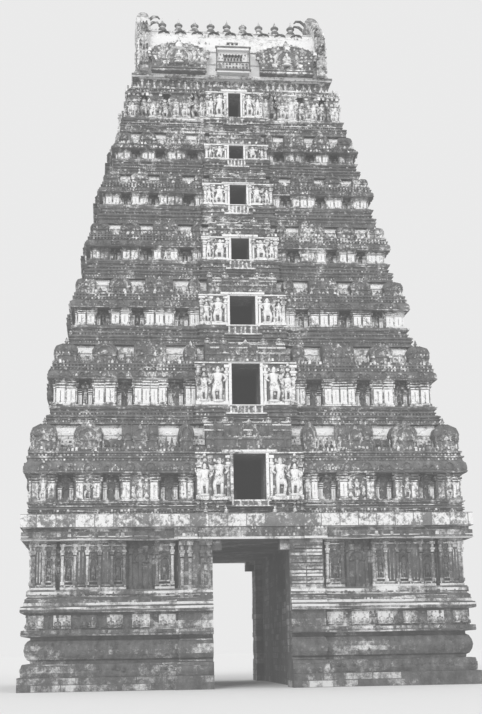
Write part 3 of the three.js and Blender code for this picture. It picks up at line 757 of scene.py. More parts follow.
def ribs(middle, width, face, drum, height, kind, top, tone):
    """Raised bands over a barrel, which follow its curve a little outside it."""
    if kind == "long":
        curve = pavilion_curve(face - drum, height)[:6]
        spots = np.linspace(middle - width / 2 + 0.06, middle + width / 2 - 0.06, max(3, int(width / 0.32)))
        lines = [[(x, (face + drum) / 2 + y * 1.03, top + z * 1.015) for y, z in curve] for x in spots]
    else:
        curve = pavilion_curve(width, height)
        spots = np.arange(face - 0.25, drum + 0.05, -0.34)
        lines = [[(middle + x * 1.03, y, top + z * 1.015) for x, z in curve] for y in spots]
    return [limb(line, [RIB] * len(line), 4, tone * 1.3) for line in lines]


def corner_ribs(x, y, side, height, top, tone):
    """Hip lines of a square dome."""
    profile = [(1, 0.42), (1.08, 0.56), (1.0, 0.67), (0.9, 0.78), (0.6, 0.87), (0.3, 0.96)]
    forms = []
    for sx, sy in ((1, 1), (-1, 1), (0.45, 1), (-0.45, 1), (1, 0.0)):
        line = [(x + sx * r * side / 2, y + sy * r * side / 2, top + h * height) for r, h in profile]
        forms.append(limb(line, [RIB, RIB, RIB, 0.033, 0.03, 0.025], 4, tone * 1.3))
    return forms


def storey_pavilions(side, tone):
    """The dressing of each pavilion on the cornice, with the finials on its ridge."""
    top, height, dome = side.top, side.parapet, tone.dome
    face, end = side.reach - PARAPET, side.length - PARAPET
    drum, _ = drum_of(side)
    tall = height * ARCH_SHARE
    forms = []
    for a, b, out, kind in side.piers:
        middle, width = (a + b) / 2, b - a
        forms.append(placed(pavilion_dressing(width, tall, kind, dome), middle, face + out, top))
        if kind == "long":
            ridge, half = (face + out + drum) / 2, width * 0.36
            forms += row(STUPI, middle - half, middle + half, 3, ridge, top + tall * 0.98, SMALL_POT, 0.5)
        forms += ribs(middle, width, face + out, drum, tall, kind, top, dome)
    corner = side.corner
    x, y = end - corner / 2, face - corner / 2
    forms.append(placed(pavilion_dressing(corner, height, "corner", dome), x, face, top))
    forms += corner_ribs(x, y, corner, height, top, dome)
    if side.front:
        forms.append(placed(STUPI, x, y, top + height * 0.97, 0.34, 0.5))
    width = side.bay * 0.8 if side.front else 2 * side.bay_half
    face = side.reach + (FRONT_PARAPET if side.front else SIDE_PARAPET)
    ridge, half = (face + drum) / 2, width * 0.38
    centre = placed(pavilion_dressing(width, height, "long", dome), 0, face, top)
    crest = row(STUPI, -half, half, 5, ridge, top + height * 0.98, SMALL_POT, 0.5)
    crest += ribs(0, width, face, drum, height, "long", top, dome)
    if side.front:
        crest += broken_lines(width, face - drum, height, ridge, top)
    return merged([both_halves(forms), centre, *crest])


def middle_bay(side, tone):
    """A window between guardians on the front and the back, a closed niche on the two ends."""
    half, step, paint = side.bay_half, side.ledge, tone.guard
    zone = side.wall + side.cornice
    opening, tall = (side.window[0] / 2, side.window[1]) if side.front else (half * 0.3, side.wall * 0.92)
    room = half - opening

    def at(share):
        """A place between the opening's edge, at 0, and the bay's, at 1."""
        return opening + room * share

    forms = [box(opening, at(0.08), 0, 0.1, 0, tall, paint)]
    for x, wide, out, shade in (
        (at(0.14), 0.08, 0.12, 0.9), (at(0.62), 0.08, 0.1, 0.6), (half - room * 0.08, 0.12, 0.14, 0.75),
    ):
        forms.append(placed(pilaster(room * wide, tall * 0.96, out, paint * shade), x))
    # The first two rows are panels behind the guardians, painted dark as painted shade in the gaps between
    # the figures.
    for a, b, out, high, shade in (
        (at(0.2), at(0.57), 0.03, 0.95, 0.2), (at(0.67), half - room * 0.14, 0.02, 0.95, 0.15),
        (at(0.18), at(0.6), 0.16, 0.08, 1), (at(0.66), half, 0.12, 0.1, 0.9),
    ):
        forms.append(box(a, b, 0, out, 0, tall * high, paint * shade))
    big = (tall * 1.16 * min(1.3, room / tall), tall * 0.86, tall * 0.86)
    small = (tall * 0.84, tall * 0.7, tall * 0.7)
    forms.append(placed(GUARDIANS[0], at(0.38), 0.06, tall * 0.07, big))
    forms.append(placed(GUARDIANS[1], at(0.77), 0.04, tall * 0.09, small, 0.95))
    inner = half - room * 0.1
    for a, b, out, lift, size, shade, fill in (
        (at(0.2), inner, 0.03, 0.82, 0.15, 0.8, 0.9), (at(0.15), half, 0.04, 0.62, 0.14, 0.9, 0.7),
        (at(0.15), half, 0.04, 0.25, 0.14, 0.8, 0.7), (at(0.2), inner, 0.1, 0.0, 0.17, 0.8, 0.8),
        (at(0.2), half, 0.03, 0.45, 0.13, 0.6, 0.6),
    ):
        forms += scatter(a, b, out, tall * lift, size, paint * shade, fill)
    forms.append(placed(KUDU_SMALL, at(0.77), 0.02, tall * 0.78, (room * 0.3, 0.5, tall * 0.2), paint))
    if side.front:
        sill, rail = -step * 0.42, -0.07
        forms += [box(0, *block) for block in (
            (half + 0.04, 0, 0.1, tall, tall + 0.06, paint),
            (at(0.3), 0, 0.16, tall + 0.06, min(tall + 0.16, zone), paint),
            (opening + 0.2, -0.1, 0.2, rail, 0.0, paint * 0.85),
            (opening + 0.1, -0.05, 0.16, sill, rail, 0.35),
            (opening + 0.28, -0.05, 0.22, -step * 0.49, sill, paint * 0.75),
        )]
        for x, lift, size in ((opening + 0.35, 0.95, 0.45), (at(0.75), 0.9, 0.4)):
            forms.append(figure(-1, x, 0.1, -step * lift, size * min(1, step), paint, 1.1))
        bar = box(-0.04, 0.04, 0.1, 0.2, sill, rail, 0.65)
        forms += row(bar, 0.1, opening + 0.05, max(3, int(opening / 0.2)), 0, 0)
    else:
        # Painted shade: a near-black plate stands for the depth of the closed niche.
        forms.append(box(0, opening, 0, 0.02, 0, tall, 0.02))
        forms.append(placed(STANDING[0], 0, 0.05, 0.04, (tall * 0.95, tall, tall * 0.9), paint))
    shown = [both_halves(forms)]
    if side.front:
        lift = tall + 0.12
        while lift < zone - 0.05:
            shown += scatter(-half, half, 0.02, lift, 0.16, 0.45, 0.8)
            lift += 0.2
        for share in (0.16, 0.4, 0.66, 0.88):
            beside = scatter(opening + 0.3, half, 0.08, -step * (1 - share), 0.15, 0.45, 0.7)
            shown.append(both_halves(beside))
    return placed(merged(shown), 0, side.reach + BAY_WALL, side.wall_foot)


# The stone base.
def base_pier(width, height):
    """A stone pier's face: slim pilasters under a capital line, with framed niches between them."""
    w = width / 2
    spots = np.linspace(-w + 0.1, w - 0.1, max(2, round(width / 0.62) + 1))
    forms = [box(-w, w, 0, *band) for band in (
        (0.07, 0.0, 0.1, 0.8), (0.04, 0.16, 0.22, 0.6), (0.09, height - 0.12, height, 0.45),
        (0.05, height - 0.24, height - 0.19, 0.7),
    )]
    forms += scatter(-w, w, 0.03, height - 0.19, 0.1, 0.5, 0.6)
    forms += scatter(-w, w, 0.05, 0.1, 0.12, 0.55, 0.6)
    forms += [placed(pilaster(0.14, height - 0.34, 0.09, rng.uniform(0.3, 0.75)), x, 0, 0.2) for x in spots]
    for n, (a, b) in enumerate(zip(spots, spots[1:])):
        middle, room = (a + b) / 2, b - a - 0.16
        if n % 2 == 0:
            forms.append(placed(niche_frame(room, height * 0.5, 0.1, 0.5), middle, 0, 0.32))
            forms.append(figure(n, middle, 0.03, 0.36, height * 0.34, 0.4, 1.3))
            forms.append(placed(KUDU_SMALL, middle, 0.0, height * 0.66, (room * 0.9, 0.4, 0.26), 0.35))
        else:
            # Painted shade: a dark panel (paint 0.15) behind two bars stands for a deep slot.
            forms.append(box(middle - room / 2, middle + room / 2, 0, 0.02, 0.3, height - 0.4, 0.15))
            for x in (middle - room * 0.22, middle + room * 0.22):
                forms.append(box(x - 0.02, x + 0.02, 0, 0.05, 0.3, height - 0.5, 0.5))
    return merged(forms)


def base_side(front):
    """The base's piers, niches, frieze and dentils on one side."""
    reach, length = reach_and_length(BASE_HALF, front)
    start = GATE_BAY if front else 0.0
    foot, height, along, end = PLINTH + BASE_FOOT, BASE_WALL - BASE_FOOT, length - 0.1, length + 0.1
    corner = along - BASE_HALF * CORNER_SHARE
    if front:
        piers = [(0.57 * along, 0.87 * along), (0.35 * along, 0.44 * along)]
        gaps = [(0.87 * along, corner), (0.44 * along, 0.57 * along)]
    else:
        piers = [(0.6 * along, 0.8 * along), (0.1, 0.35 * along)]
        gaps = [(0.35 * along, 0.6 * along)]
    forms = []
    for a, b in piers + [(corner, along)]:
        forms.append(placed(base_pier(b - a, height), (a + b) / 2, reach - 0.1, foot))
    for a, b in gaps:
        pillar = pilaster(0.16, height, 0.1, 0.3)
        forms += row(pillar, a + 0.2, b - 0.2, max(1, round((b - a) / 0.5)), reach - 0.4, foot)
        forms.append(placed(KUDU, (a + b) / 2, reach - 0.36, foot + height * 0.55, (0.6, 0.5, 0.5), 0.35))
    cornice_foot = PLINTH + BASE_WALL
    forms += dentils(start + 0.1, end, reach + 0.1, cornice_foot + 0.02, 0.13, 0.4)
    for more, out, *look in (
        (0.15, 0.33, cornice_foot + 0.12, 0.2, 0.45), (0, 0.2, cornice_foot + 0.36, 0.14, 0.35),
        (0, 0.16, PLINTH + 0.08, 0.14, 0.5), (0, 0.06, PLINTH + 0.44, 0.16, 0.45),
    ):
        forms += scatter(start, end + more, reach + out, *look, 0.6)
    for x in np.arange(start + 0.5, length - 0.3, 1.15):
        wide = rng.uniform(0.28, 0.42)
        forms.append(box(x - wide, x + wide, reach + 0.05, reach + 0.1, 2.68, 3.25, rng.uniform(0.45, 0.9)))
        forms.append(placed(SEATED, x - wide * 0.5, reach + 0.09, 2.7, 0.5, 0.8))
        forms.append(placed(SEATED, x + wide * 0.5, reach + 0.09, 2.7, (0.5, 0.5, 0.45), 0.6))
    for look in ((2.66, 0.2, 0.35, 0.8), (3.12, 0.16, 0.3, 0.7)):
        forms += scatter(start, end, reach + 0.06, *look)
    for lift, out in ((0.82, 0.26), (1.5, 0.08), (1.9, 0.06), (2.44, 0.28)):
        forms += scatter(start, end + out - 0.2, reach + out, lift, 0.2, 0.3, 0.5)
    petal = [(-0.12, 0.0), (0.12, 0.0), (0.15, 0.12), (0.0, 0.26), (-0.15, 0.12)]
    forms += row(plate(petal, 0, 0.03, 0.3, 0.05), start + 0.2, end, 30 if front else 24, reach + 0.2, 0.85)
    return both_halves(forms)


def gate_bays():
    """The piers beside the gateway on the front: pilasters on the left, striped courses on the right."""
    face = BASE_HALF - DEPTH_LESS + GATE_OUT
    lintel_foot = PLINTH + BASE_WALL
    pillar = pilaster(0.16, BASE_WALL - 0.35, 0.09, 0.45)
    forms = [
        *(placed(pillar, x, face, PLINTH + 0.25) for x in (3.1, 2.75, 2.2, 1.9)),
        box(1.78, 3.2, face, face + 0.06, lintel_foot - 0.1, lintel_foot, 0.45),
        box(2.35, 2.6, face, face + 0.03, PLINTH + 0.4, lintel_foot - 0.5, 0.3),
    ]
    lift = PLINTH + 0.1
    while lift < lintel_foot - 0.15:
        for a, b in ((-2.45, -1.8), (-3.2, -2.5)):
            out = rng.uniform(0.02, 0.08)
            forms.append(box(a, b, face, face + out, lift, lift + 0.1, rng.uniform(0.25, 0.6)))
        lift += 0.155
    for z in (0.7, 1.2, 1.7, 2.1, 2.5, 2.9, 3.2):
        for a, b in ((-3.2, -1.78), (1.78, 3.2)):
            forms.append(box(a, b, face, face + rng.uniform(0.02, 0.06), z, z + 0.06, 0.35))
    for a, b, y in ((-2.4, 2.4, face), (2.4, 3.45, face + 0.15), (-3.45, -2.4, face + 0.15)):
        forms.append(box(a, b, y, y + 0.06, lintel_foot - 0.01, lintel_foot + 0.09, 0.95))
        forms.append(box(a, b, y, y + 0.03, lintel_foot + 0.09, lintel_foot + 0.5, 0.5))
        for lift, size in ((0.12, 0.15), (0.28, 0.13), (0.42, 0.12)):
            forms += scatter(a, b, y + 0.01, lintel_foot + lift, size, 0.6, 0.75)
    return merged(forms)


# As above, the rows set back in grooves and under the cornice's projection have darker paint, as painted
# shade.
BASE_WALL_PROFILE = [
    (0.15, 0.0, 0), (0.2, 0.01, 0.6), (0.2, 0.05, 0.8), (0.16, 0.06, 0.2), (0.14, 0.11, 0.5),
    (0.02, 0.14, 0.35), (0.04, 0.16, 0.7), (0.09, 0.18, 0.5), (0.09, 0.22, 0.75), (0.04, 0.25, 0.5),
]
BASE_CORNICE_PROFILE = [
    (-0.1, -0.04, 0), (0.3, -0.06, 0.2), (0.36, 0.0, 0.8), (0.38, 0.06, 0.9), (0.34, 0.12, 0.4),
    (0.36, 0.3, 0.7), (0.3, 0.45, 0.55), (0.34, 0.56, 1.0), (0.34, 0.64, 0.8), (0.22, 0.67, 0.2),
    (0.22, 0.9, 0.35), (0.3, 0.93, 1.0), (0.3, 0.99, 0.5),
]
PLINTH_PROFILE = [
    (0.2, 0.6, 0), (0.24, 0.61, 0.3), (0.27, 0.8, 0.25), (0.22, 1.0, 0.25), (0.23, 1.04, 0.4),
    (0.2, 1.16, 0.2), (-0.14, 1.17, 0.15), (-0.12, 1.3, 0.15), (0.0, 1.36, 0.3), (0.1, 1.55, 0.25),
    (0.14, 1.75, 0.3),
    (0.1, 1.95, 0.25), (0.0, 2.14, 0.25), (-0.12, 2.2, 0.15), (-0.12, 2.33, 0.15), (0.27, 2.36, 0.25),
    (0.29, 2.42, 0.4), (0.27, 2.48, 0.25), (0.27, 2.59, 0.35), (0.06, 2.61, 0.3), (0.06, 2.95, 0.45),
    (0.06, 3.34, 0.4), (0.31, 3.36, 0.2), (0.34, 3.4, 0.5), (0.33, 3.48, 0.3), (0.35, 3.51, 0.9),
    (0.35, 3.58, 1.1), (0.2, 3.64, 0.5),
]


def base_mouldings(front):
    """The plinth's mouldings, whose profile is in metres, the foot of the wall and the cornice."""
    reach, length = reach_and_length(BASE_HALF, front)
    wing = wing_path(GATE_BAY if front else 0.0, length, reach)
    zones = [(BASE_WALL_PROFILE, PLINTH, BASE_WALL), (BASE_CORNICE_PROFILE, PLINTH + BASE_WALL, BASE_CORNICE),
             (PLINTH_PROFILE, 0.0, 1.0)]
    forms = [sweep(wing, *zone) for zone in zones]
    if front:
        face = reach + GATE_OUT
        gate = [(GATE_HALF, face, 0, 1), (GATE_BAY, face, 0.5, 1), (GATE_BAY, reach, 0.5, 0)]
        forms += [sweep(gate, *zone) for zone in (zones[2], zones[0])]
    return both_halves(forms)


# The roof.
def vault_point(turn, over=0.0):
    """A point (out, up) of the roof's outline, over metres outside it."""
    bulge = 1 + 0.1 * math.sin(2 * min(turn, math.pi - turn))
    half, height = VAULT_DEPTH + over, VAULT_HEIGHT + over
    return half * math.cos(turn) * bulge, 0.25 + (height - 0.25) * math.sin(turn)


def roof_bands():
    """Worn raised lines on both slopes of the vault, and small arches below the finials, painted dark as
    painted shadow under the pots.
    """
    forms = []
    for turn, paint in ((0.12, 0.9), (0.34, 0.7), (0.95, 0.85), (1.2, 0.9)):
        y, z = vault_point(turn, 0.02)
        forms.append(limb([(x, y, ROOF_FOOT + z) for x in (-VAULT_HALF, VAULT_HALF)], [0.04, 0.04], 6, paint))
    arc = arch_line(0.36, 0, 0.3, 8, 0.0)
    y, z = vault_point(0.82)
    for x in POT_PLACES:
        # Painted shadow: each dark arch (paint 0.1) stands for the shadow under a finial's foot.
        forms.append(placed(arch_band(arc * (0.66, 0.66), arc, -0.28, 0.03, 0.1), x, y, ROOF_FOOT + z - 0.05))
        forms.append(placed(BOSS, x, y - 0.1, ROOF_FOOT + z - 0.02, 0.2, 0.9))
    for turn in (0.5, 0.72, 1.0):
        y, z = vault_point(turn)
        forms += scatter(-VAULT_HALF, VAULT_HALF, y - 0.03, ROOF_FOOT + z, 0.16, 0.75, 0.35)
    return front_and_back(merged(forms))


def ball(x, y, z, across, deep, paint):
    steps = [(-0.95, 0.31), (-0.5, 0.87), (0.0, 1.0), (0.5, 0.87), (0.95, 0.31)]
    return stack([(z + across * h, across * r, deep * r, x, y) for h, r in steps], 8, paint)


def gable_face():
    """Arched ribs, a row of bosses and three figures on the roof's end, in the side's frame."""
    forms = []
    reach = VAULT_HALF + GABLE_OUT
    turns = np.linspace(0.0, math.pi, 21)
    for over, width, out, paint in (
        (0.36, 0.16, 0.1, 0.7), (0.1, 0.1, 0.07, 0.5), (-0.5, 0.14, 0.12, 0.6), (-0.95, 0.1, 0.08, 0.45),
    ):
        inner, outer = ([vault_point(t, far) for t in turns] for far in (over - width, over))
        forms.append(placed(arch_band(inner, outer, -0.02, out, paint), 0, reach, ROOF_FOOT))
    for t in np.linspace(0.1, math.pi - 0.1, 17):
        y, z = vault_point(t, -0.25)
        forms.append(ball(y, reach + 0.02, ROOF_FOOT + z, 0.14, 0.08, 0.75))
    for over, size in ((0.3, 0.26), (0.08, 0.2), (-0.7, 0.2), (-1.2, 0.18)):
        for t in np.linspace(0.02, math.pi - 0.02, 27):
            y, z = vault_point(t, over)
            forms.append(worn_bit(4, y, reach + 0.02, ROOF_FOOT + z - size * 0.4, size, 0.4, 1))
    forms.append(placed(niche_frame(1.3, 1.7, 0.16, 0.6), 0, reach, ROOF_FOOT + 0.9))
    forms.append(placed(SEATED, 0, reach + 0.06, ROOF_FOOT + 1.0, (1.2, 0.7, 1.2), 0.7))
    forms += row(STANDING[0], -1.35, 1.35, 2, reach + 0.04, ROOF_FOOT + 0.9, (1.2, 1.0, 1.3), 0.6)
    return merged(forms)


def gable_edge():
    """Flame-shaped leaves and scrolls up the gable's rim and its horn, on the face towards the front."""
    middle = VAULT_HALF + GABLE_OUT / 2
    forms = []

    def leaf(x, y, z, *size):
        forms.append(placed(BITS[rng.integers(3)], middle + x, y, z, size, rng.uniform(0.15, 1)))

    for t in np.linspace(0.05, 1.36, 19):
        y, z = vault_point(t, 0.42)
        wide = 0.3 * rng.uniform(0.8, 1.15)
        for x in (-0.17, 0.0, 0.17):
            leaf(x, y - 0.03, ROOF_FOOT + z - 0.12, wide * 0.6, 0.55, 0.24 * rng.uniform(0.8, 1.3))
    for z in np.arange(3.6, 4.95, 0.16):
        half = 0.95 * (1 - (z - 3.2) / 2.2)
        for x in (-0.2, 0.0, 0.2):
            leaf(x, half * 0.55, ROOF_FOOT + z - 0.1, 0.2, 0.5, 0.2 * rng.uniform(0.8, 1.4))
    curl = [(4.55, 0.3, 4.15), (4.4, 0.32, 4.5), (4.15, 0.32, 4.72), (3.9, 0.3, 4.74), (3.78, 0.3, 4.6)]
    forms.append(placed(limb(curl, [0.09, 0.1, 0.09, 0.07, 0.03], 6, 0.3), 0, 0, ROOF_FOOT))
    return both_halves(forms)


def dormer_face(x):
    """A horseshoe gable in rings on a dormer, with a seated figure inside it and small bosses round it."""
    half, height = DORMER_WIDTH / 2, DORMER_HEIGHT
    reach, z0 = VAULT_DEPTH + DORMER_OUT, ROOF_FOOT
    forms = [
        placed(KUDU, x, reach, z0 + 0.35, (DORMER_WIDTH * 0.5, 0.9, height * 0.72), 0.6),
        placed(SEATED, x, reach + 0.08, z0 + 0.5, (0.75, 0.6, 0.75), 0.8),
        box(x - half - 0.05, x + half + 0.05, reach - 0.1, reach + 0.1, z0 + 0.02, z0 + 0.12, 0.5),
        box(x - half, x + half, reach - 0.1, reach + 0.06, z0 + 0.2, z0 + 0.28, 0.4),
        placed(STUPI, x, reach - 0.15, z0 + height, (0.5, 0.5, 0.35), 0.6),
    ]

    def rim(t, share):
        """A point (x, z) of the dormer's outline, drawn in to the given share."""
        swell = 1 + 0.3 * abs(math.sin(2 * t))
        return x + half * share * math.cos(t) * swell, z0 + height * (0.42 + 0.58 * share * math.sin(t))

    for share, size in ((0.99, 0.2), (0.84, 0.15), (0.68, 0.16)):
        for t in np.linspace(0.0, math.pi, int(20 * share)):
            a, z = rim(t, share)
            forms.append(worn_bit(4, a, reach - 0.01, z - 0.08, size, 0.25, 1.1))
    for lift in (0.3, 0.5, 0.72, 0.95):
        inset = DORMER_WIDTH * 0.47
        forms += scatter(x - inset, x + inset, reach, z0 + lift, 0.17, 0.6, 0.75)
    for y in np.arange(reach - 0.35, 1.6, -0.3):
        for t in np.linspace(0.3, math.pi - 0.3, 12):
            a, z = rim(t, 1.0)
            forms.append(placed(LEAF, a, y, z - 0.05, 0.14 * rng.uniform(0.7, 1.2), rng.uniform(0.2, 0.6)))
    return merged(forms)


def niche_face():
    """The framed panel between the dormers: dark lines, a band of scrolls and posts above."""
    reach, z0 = VAULT_DEPTH + NICHE_OUT, ROOF_FOOT
    forms = []
    for a, b, back, out, low, high, paint in (
        (-0.95, 0.95, -0.1, 0.08, 1.4, 1.47, 0.05), (-0.9, 0.9, -0.02, 0.03, 1.28, 1.4, 0.9),
        (-0.86, 0.86, -0.02, 0.04, 0.55, 0.6, 0.1), (-0.95, 0.95, -0.1, 0.06, 0.1, 0.18, 0.1),
        (-0.16, -0.06, -0.5, -0.3, 1.45, 1.85, 0.6), (0.06, 0.16, -0.5, -0.3, 1.45, 1.85, 0.6),
        (-0.3, 0.3, -0.5, -0.3, 1.82, 1.88, 0.3),
        (-0.91, -0.85, -0.02, 0.04, 0.1, 1.4, 0.1), (0.85, 0.91, -0.02, 0.04, 0.1, 1.4, 0.1),
    ):
        forms.append(box(a, b, reach + back, reach + out, z0 + low, z0 + high, paint))
    for x in np.linspace(-0.66, 0.66, 9):
        forms.append(placed(BOSS, x, reach - 0.3, z0 + 0.98, (0.16, 0.5, 0.2), 0.12))
        forms.append(placed(LEAF, x + 0.07, reach - 0.3, z0 + 0.82, (0.12, 0.5, 0.14), 0.3))
    for lift in (0.22, 0.4):
        forms += scatter(-0.8, 0.8, reach, z0 + lift, 0.15, 0.35, 0.9)
    return merged(forms)


# Rows set back in the neck's groove have darker paint, as painted shade.
NECK_PROFILE = [
    (0.3, 0.0, 0), (0.34, 0.0, 0.6), (0.34, 0.14, 0.7), (0.28, 0.18, 0.5), (0.02, 0.2, 0.4), (0.02, 0.7, 0.3),
    (0.1, 0.74, 0.6), (0.3, 0.78, 0.7), (0.36, 0.84, 0.9), (0.36, 0.98, 0.9), (-0.2, 1.0, 0.7),
]


def roof_neck(front):
    """The neck below the roof: its mouldings, and seated figures between pilasters."""
    reach, length = reach_and_length(NECK_HALF, front)
    foot = ROOF_FOOT - NECK_HEIGHT
    forms = [sweep(wing_path(0, length, reach), NECK_PROFILE, foot, NECK_HEIGHT)]
    count = 8 if front else 4
    forms += row(pilaster(0.14, 0.5, 0.08, 0.6), 0.25, length - 0.2, count, reach, foot + 0.18)
    step = (length - 0.45) / (count - 1)
    for i in range(count - 1):
        forms.append(figure(-1, 0.25 + step * (i + 0.5), reach + 0.06, foot + 0.2, 0.44, 0.75))
    forms += dentils(0.1, length + 0.2, reach + 0.02, foot + 0.62, 0.06, 0.5)
    return both_halves(forms)


def finial_pot(x):
    """A pot finial on the ridge. Its foot and necks are whitened, its bowl and bud are bare."""
    profile = [
        (0.36, 0), (0.38, 0.03), (0.33, 0.12), (0.24, 0.15), (0.12, 0.2), (0.12, 0.24), (0.2, 0.28),
        (0.24, 0.34), (0.245, 0.4), (0.21, 0.47), (0.12, 0.53), (0.1, 0.57), (0.17, 0.61), (0.225, 0.68),
        (0.225, 0.74), (0.15, 0.81), (0.06, 0.86), (0.08, 0.9), (0.06, 0.95), (0.02, 1.05), (0.006, 1.15),
    ]
    bands = [(0, 6, 1.0), (5, 11, 0.35), (10, 13, 0.9), (12, 16, 0.35), (15, 21, 0.8)]
    pot = merged([lathe(profile[a:b], 24, paint) for a, b, paint in bands])
    return placed(pot, x, 0, ROOF_FOOT + VAULT_HEIGHT)


# Materials.
def material(name, dark, light, roughness, bump, level=None, wear=0.9, gain=1.7, blocks=None,
             joints=(0.45, 0.45)):
    """Weathered plaster or stone: what is left of the limewash, in flakes over a dark and streaked ground.

    The level says how much is left, or without one the paint attribute does. Blocks are the length and height
    of the courses' stones, and joints how much the stones differ and how dark their joints are.
    """
    made = bpy.data.materials.new(name)
    made.use_nodes = True
    nodes = made.node_tree.nodes

    def feed(socket, value):
        """Link an input to an output, or set it to a value."""
        if isinstance(value, bpy.types.NodeSocket):
            made.node_tree.links.new(value, socket)
        else:
            socket.default_value = value

    def new(kind, **inputs):
        """A node with its inputs fed; in their names an underscore stands for a space."""
        node = nodes.new("ShaderNode" + kind)
        for key, value in inputs.items():
            feed(node.inputs[key.replace("_", " ")], value)
        return node

    def calc(operation, a, b, clamp=False):
        node = new("Math")
        node.operation, node.use_clamp = operation, clamp
        feed(node.inputs[0], a)
        feed(node.inputs[1], b)
        return node.outputs[0]

    plus, less, times = (partial(calc, operation) for operation in ("ADD", "SUBTRACT", "MULTIPLY"))

    def noise(scale, detail, stretch=(1, 1, 1), rough=0.5):
        spot = new("Mapping", Scale=stretch, Vector=place).outputs[0]
        return new("TexNoise", Scale=scale, Detail=detail, Roughness=rough, Vector=spot).outputs["Fac"]

    def spread(value, low, high):
        """The value mapped so that low becomes 0 and high becomes 1."""
        return times(less(value, low), 1 / (high - low), True)

    def scaled(value, factor):
        """The value's difference from a half, times the factor."""
        return times(less(value, 0.5), factor)

    place = new("TexCoord").outputs["Object"]
    stains = noise(0.45, 4)
    drips = noise(1.8, 5, (1, 1, 0.14))
    flakes = spread(noise(5.5, 8, rough=0.68), 0.3, 0.7)
    grain = noise(24, 3, rough=0.6)
    if level is None:
        attribute = new("Attribute")
        attribute.attribute_name = "paint"
        cover = attribute.outputs["Fac"]
    else:
        cover = plus(level, scaled(noise(1.3, 5), 0.5))
    facing = new("SeparateXYZ", Vector=new("NewGeometry").outputs["Normal"])
    cover = less(cover, times(spread(facing.outputs["Z"], 0.2, 0.9), 0.35))
    cover = less(cover, scaled(stains, 1.2))
    cover = less(cover, scaled(drips, 1.1))
    if blocks:
        corner = new("SeparateXYZ", Vector=place).outputs
        across = new("CombineXYZ", X=plus(corner["X"], corner["Y"]), Y=corner["Z"])
        laid = new("TexBrick", Scale=1.0, Brick_Width=blocks[0], Row_Height=blocks[1], Mortar_Size=0.02,
                   Mortar_Smooth=0.3, Color1=(0, 0, 0, 1), Color2=(1, 1, 1, 1), Mortar=(0.5, 0.5, 0.5, 1),
                   Vector=across.outputs[0]).outputs
        cover = plus(cover, scaled(laid["Color"], joints[0]))
        cover = less(cover, times(laid["Fac"], joints[1]))
    worn = less(plus(cover, times(flakes, wear)), 0.23 + wear / 2)
    worn = plus(times(worn, gain), scaled(grain, 0.53 * gain))
    ground = times(spread(noise(3.2, 6, (1, 1, 0.6), 0.62), 0.32, 0.72), 0.42)
    worn = calc("MAXIMUM", worn, plus(ground, scaled(grain, 0.3)), True)
    ramp = nodes.new("ShaderNodeValToRGB")
    tones = ramp.color_ramp.elements
    for spot in (0.3, 0.6):
        tones.new(spot)
    for element, share in zip(tones, (0, 0.12, 0.42, 1)):
        element.color = (*[dark + (light - dark) * share] * 3, 1)
    feed(ramp.inputs[0], worn)
    relief = new("Bump", Strength=0.9, Distance=bump, Height=plus(grain, times(flakes, 1.5)))
    for key, value in (("Base Color", ramp.outputs[0]), ("Roughness", roughness), ("Specular IOR Level", 0.2),
                       ("Normal", relief.outputs[0])):
        feed(nodes["Principled BSDF"].inputs[key], value)
    return made


carved = material("carved_plaster", 0.09, 0.86, 0.9, 0.03)
# Whiter than carved_plaster: real fresh limewash, made whiter still as painted light for the shaded strips
# behind the pavilions.
shade_lifted_limewash = material("fresh_limewash_lifted_against_shade", 0.12, 1.0, 0.9, 0.03)
plain = material("blackened_plaster", 0.09, 0.7, 0.92, 0.04, 0.3)
white = material("limewash", 0.4, 0.77, 0.85, 0.02, 1.05)
slab = material("slab_limewash", 0.12, 0.74, 0.85, 0.02, 0.58, 0.9, 2.0, (0.85, 0.5875), (0.35, 0.9))
gables = material("gable_limewash", 0.14, 0.74, 0.88, 0.03, 0.6)
stone = material("granite", 0.06, 0.6, 0.8, 0.03, 0.38, 0.5, blocks=(1.3, 0.3))
carved_stone = material("carved_granite", 0.06, 0.72, 0.8, 0.03, wear=0.5)
wood = material("timber", 0.15, 0.4, 0.8, 0.01, 0.4)
brass = material("pot_metal", 0.1, 0.62, 0.5, 0.006)

# A node of the frame takes the first look here whose key its name starts with.
LOOKS = {
    "base_slab": slab, "roof_vault": white, "niche": white, "gable": gables, "base": stone,
    "front_lintel": stone, "back_lintel": stone, "passage_ceiling": stone, "": plain,
}
for name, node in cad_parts.items():
    look = next(made for start, made in LOOKS.items() if name.startswith(start))
    node.data.materials.clear()
    node.data.materials.append(wood if name.endswith("floor") else look)

BRIGHTEST = 1.3  # above 1 the limewash is whole, with hardly a flake gone


def linked(name, data):
    obj = bpy.data.objects.new(name, data)
    bpy.context.scene.collection.objects.link(obj)
    return obj


def piece(name, shape, made):
    """A form as a Blender mesh that rides on the tower and stays in the frame's box."""
    points, faces, paint, smooth = shape
    points = np.clip(points, *cad_box)
    mesh = bpy.data.meshes.new(name)
    mesh.vertices.add(len(points))
    mesh.vertices.foreach_set("co", points.astype(np.float32).ravel())
    mesh.loops.add(3 * len(faces))
    mesh.loops.foreach_set("vertex_index", faces.astype(np.int32).ravel())
    mesh.polygons.add(len(faces))
    mesh.polygons.foreach_set("loop_start", np.arange(0, 3 * len(faces), 3, dtype=np.int32))
    mesh.update(calc_edges=True)
    mesh.polygons.foreach_set("use_smooth", smooth)
    attribute = mesh.attributes.new("paint", "FLOAT", "POINT")
    attribute.data.foreach_set("value", np.clip(paint, 0, BRIGHTEST).astype(np.float32))
    mesh.materials.append(made)
    obj = linked(name, mesh)
    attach(obj, "root")
    return obj


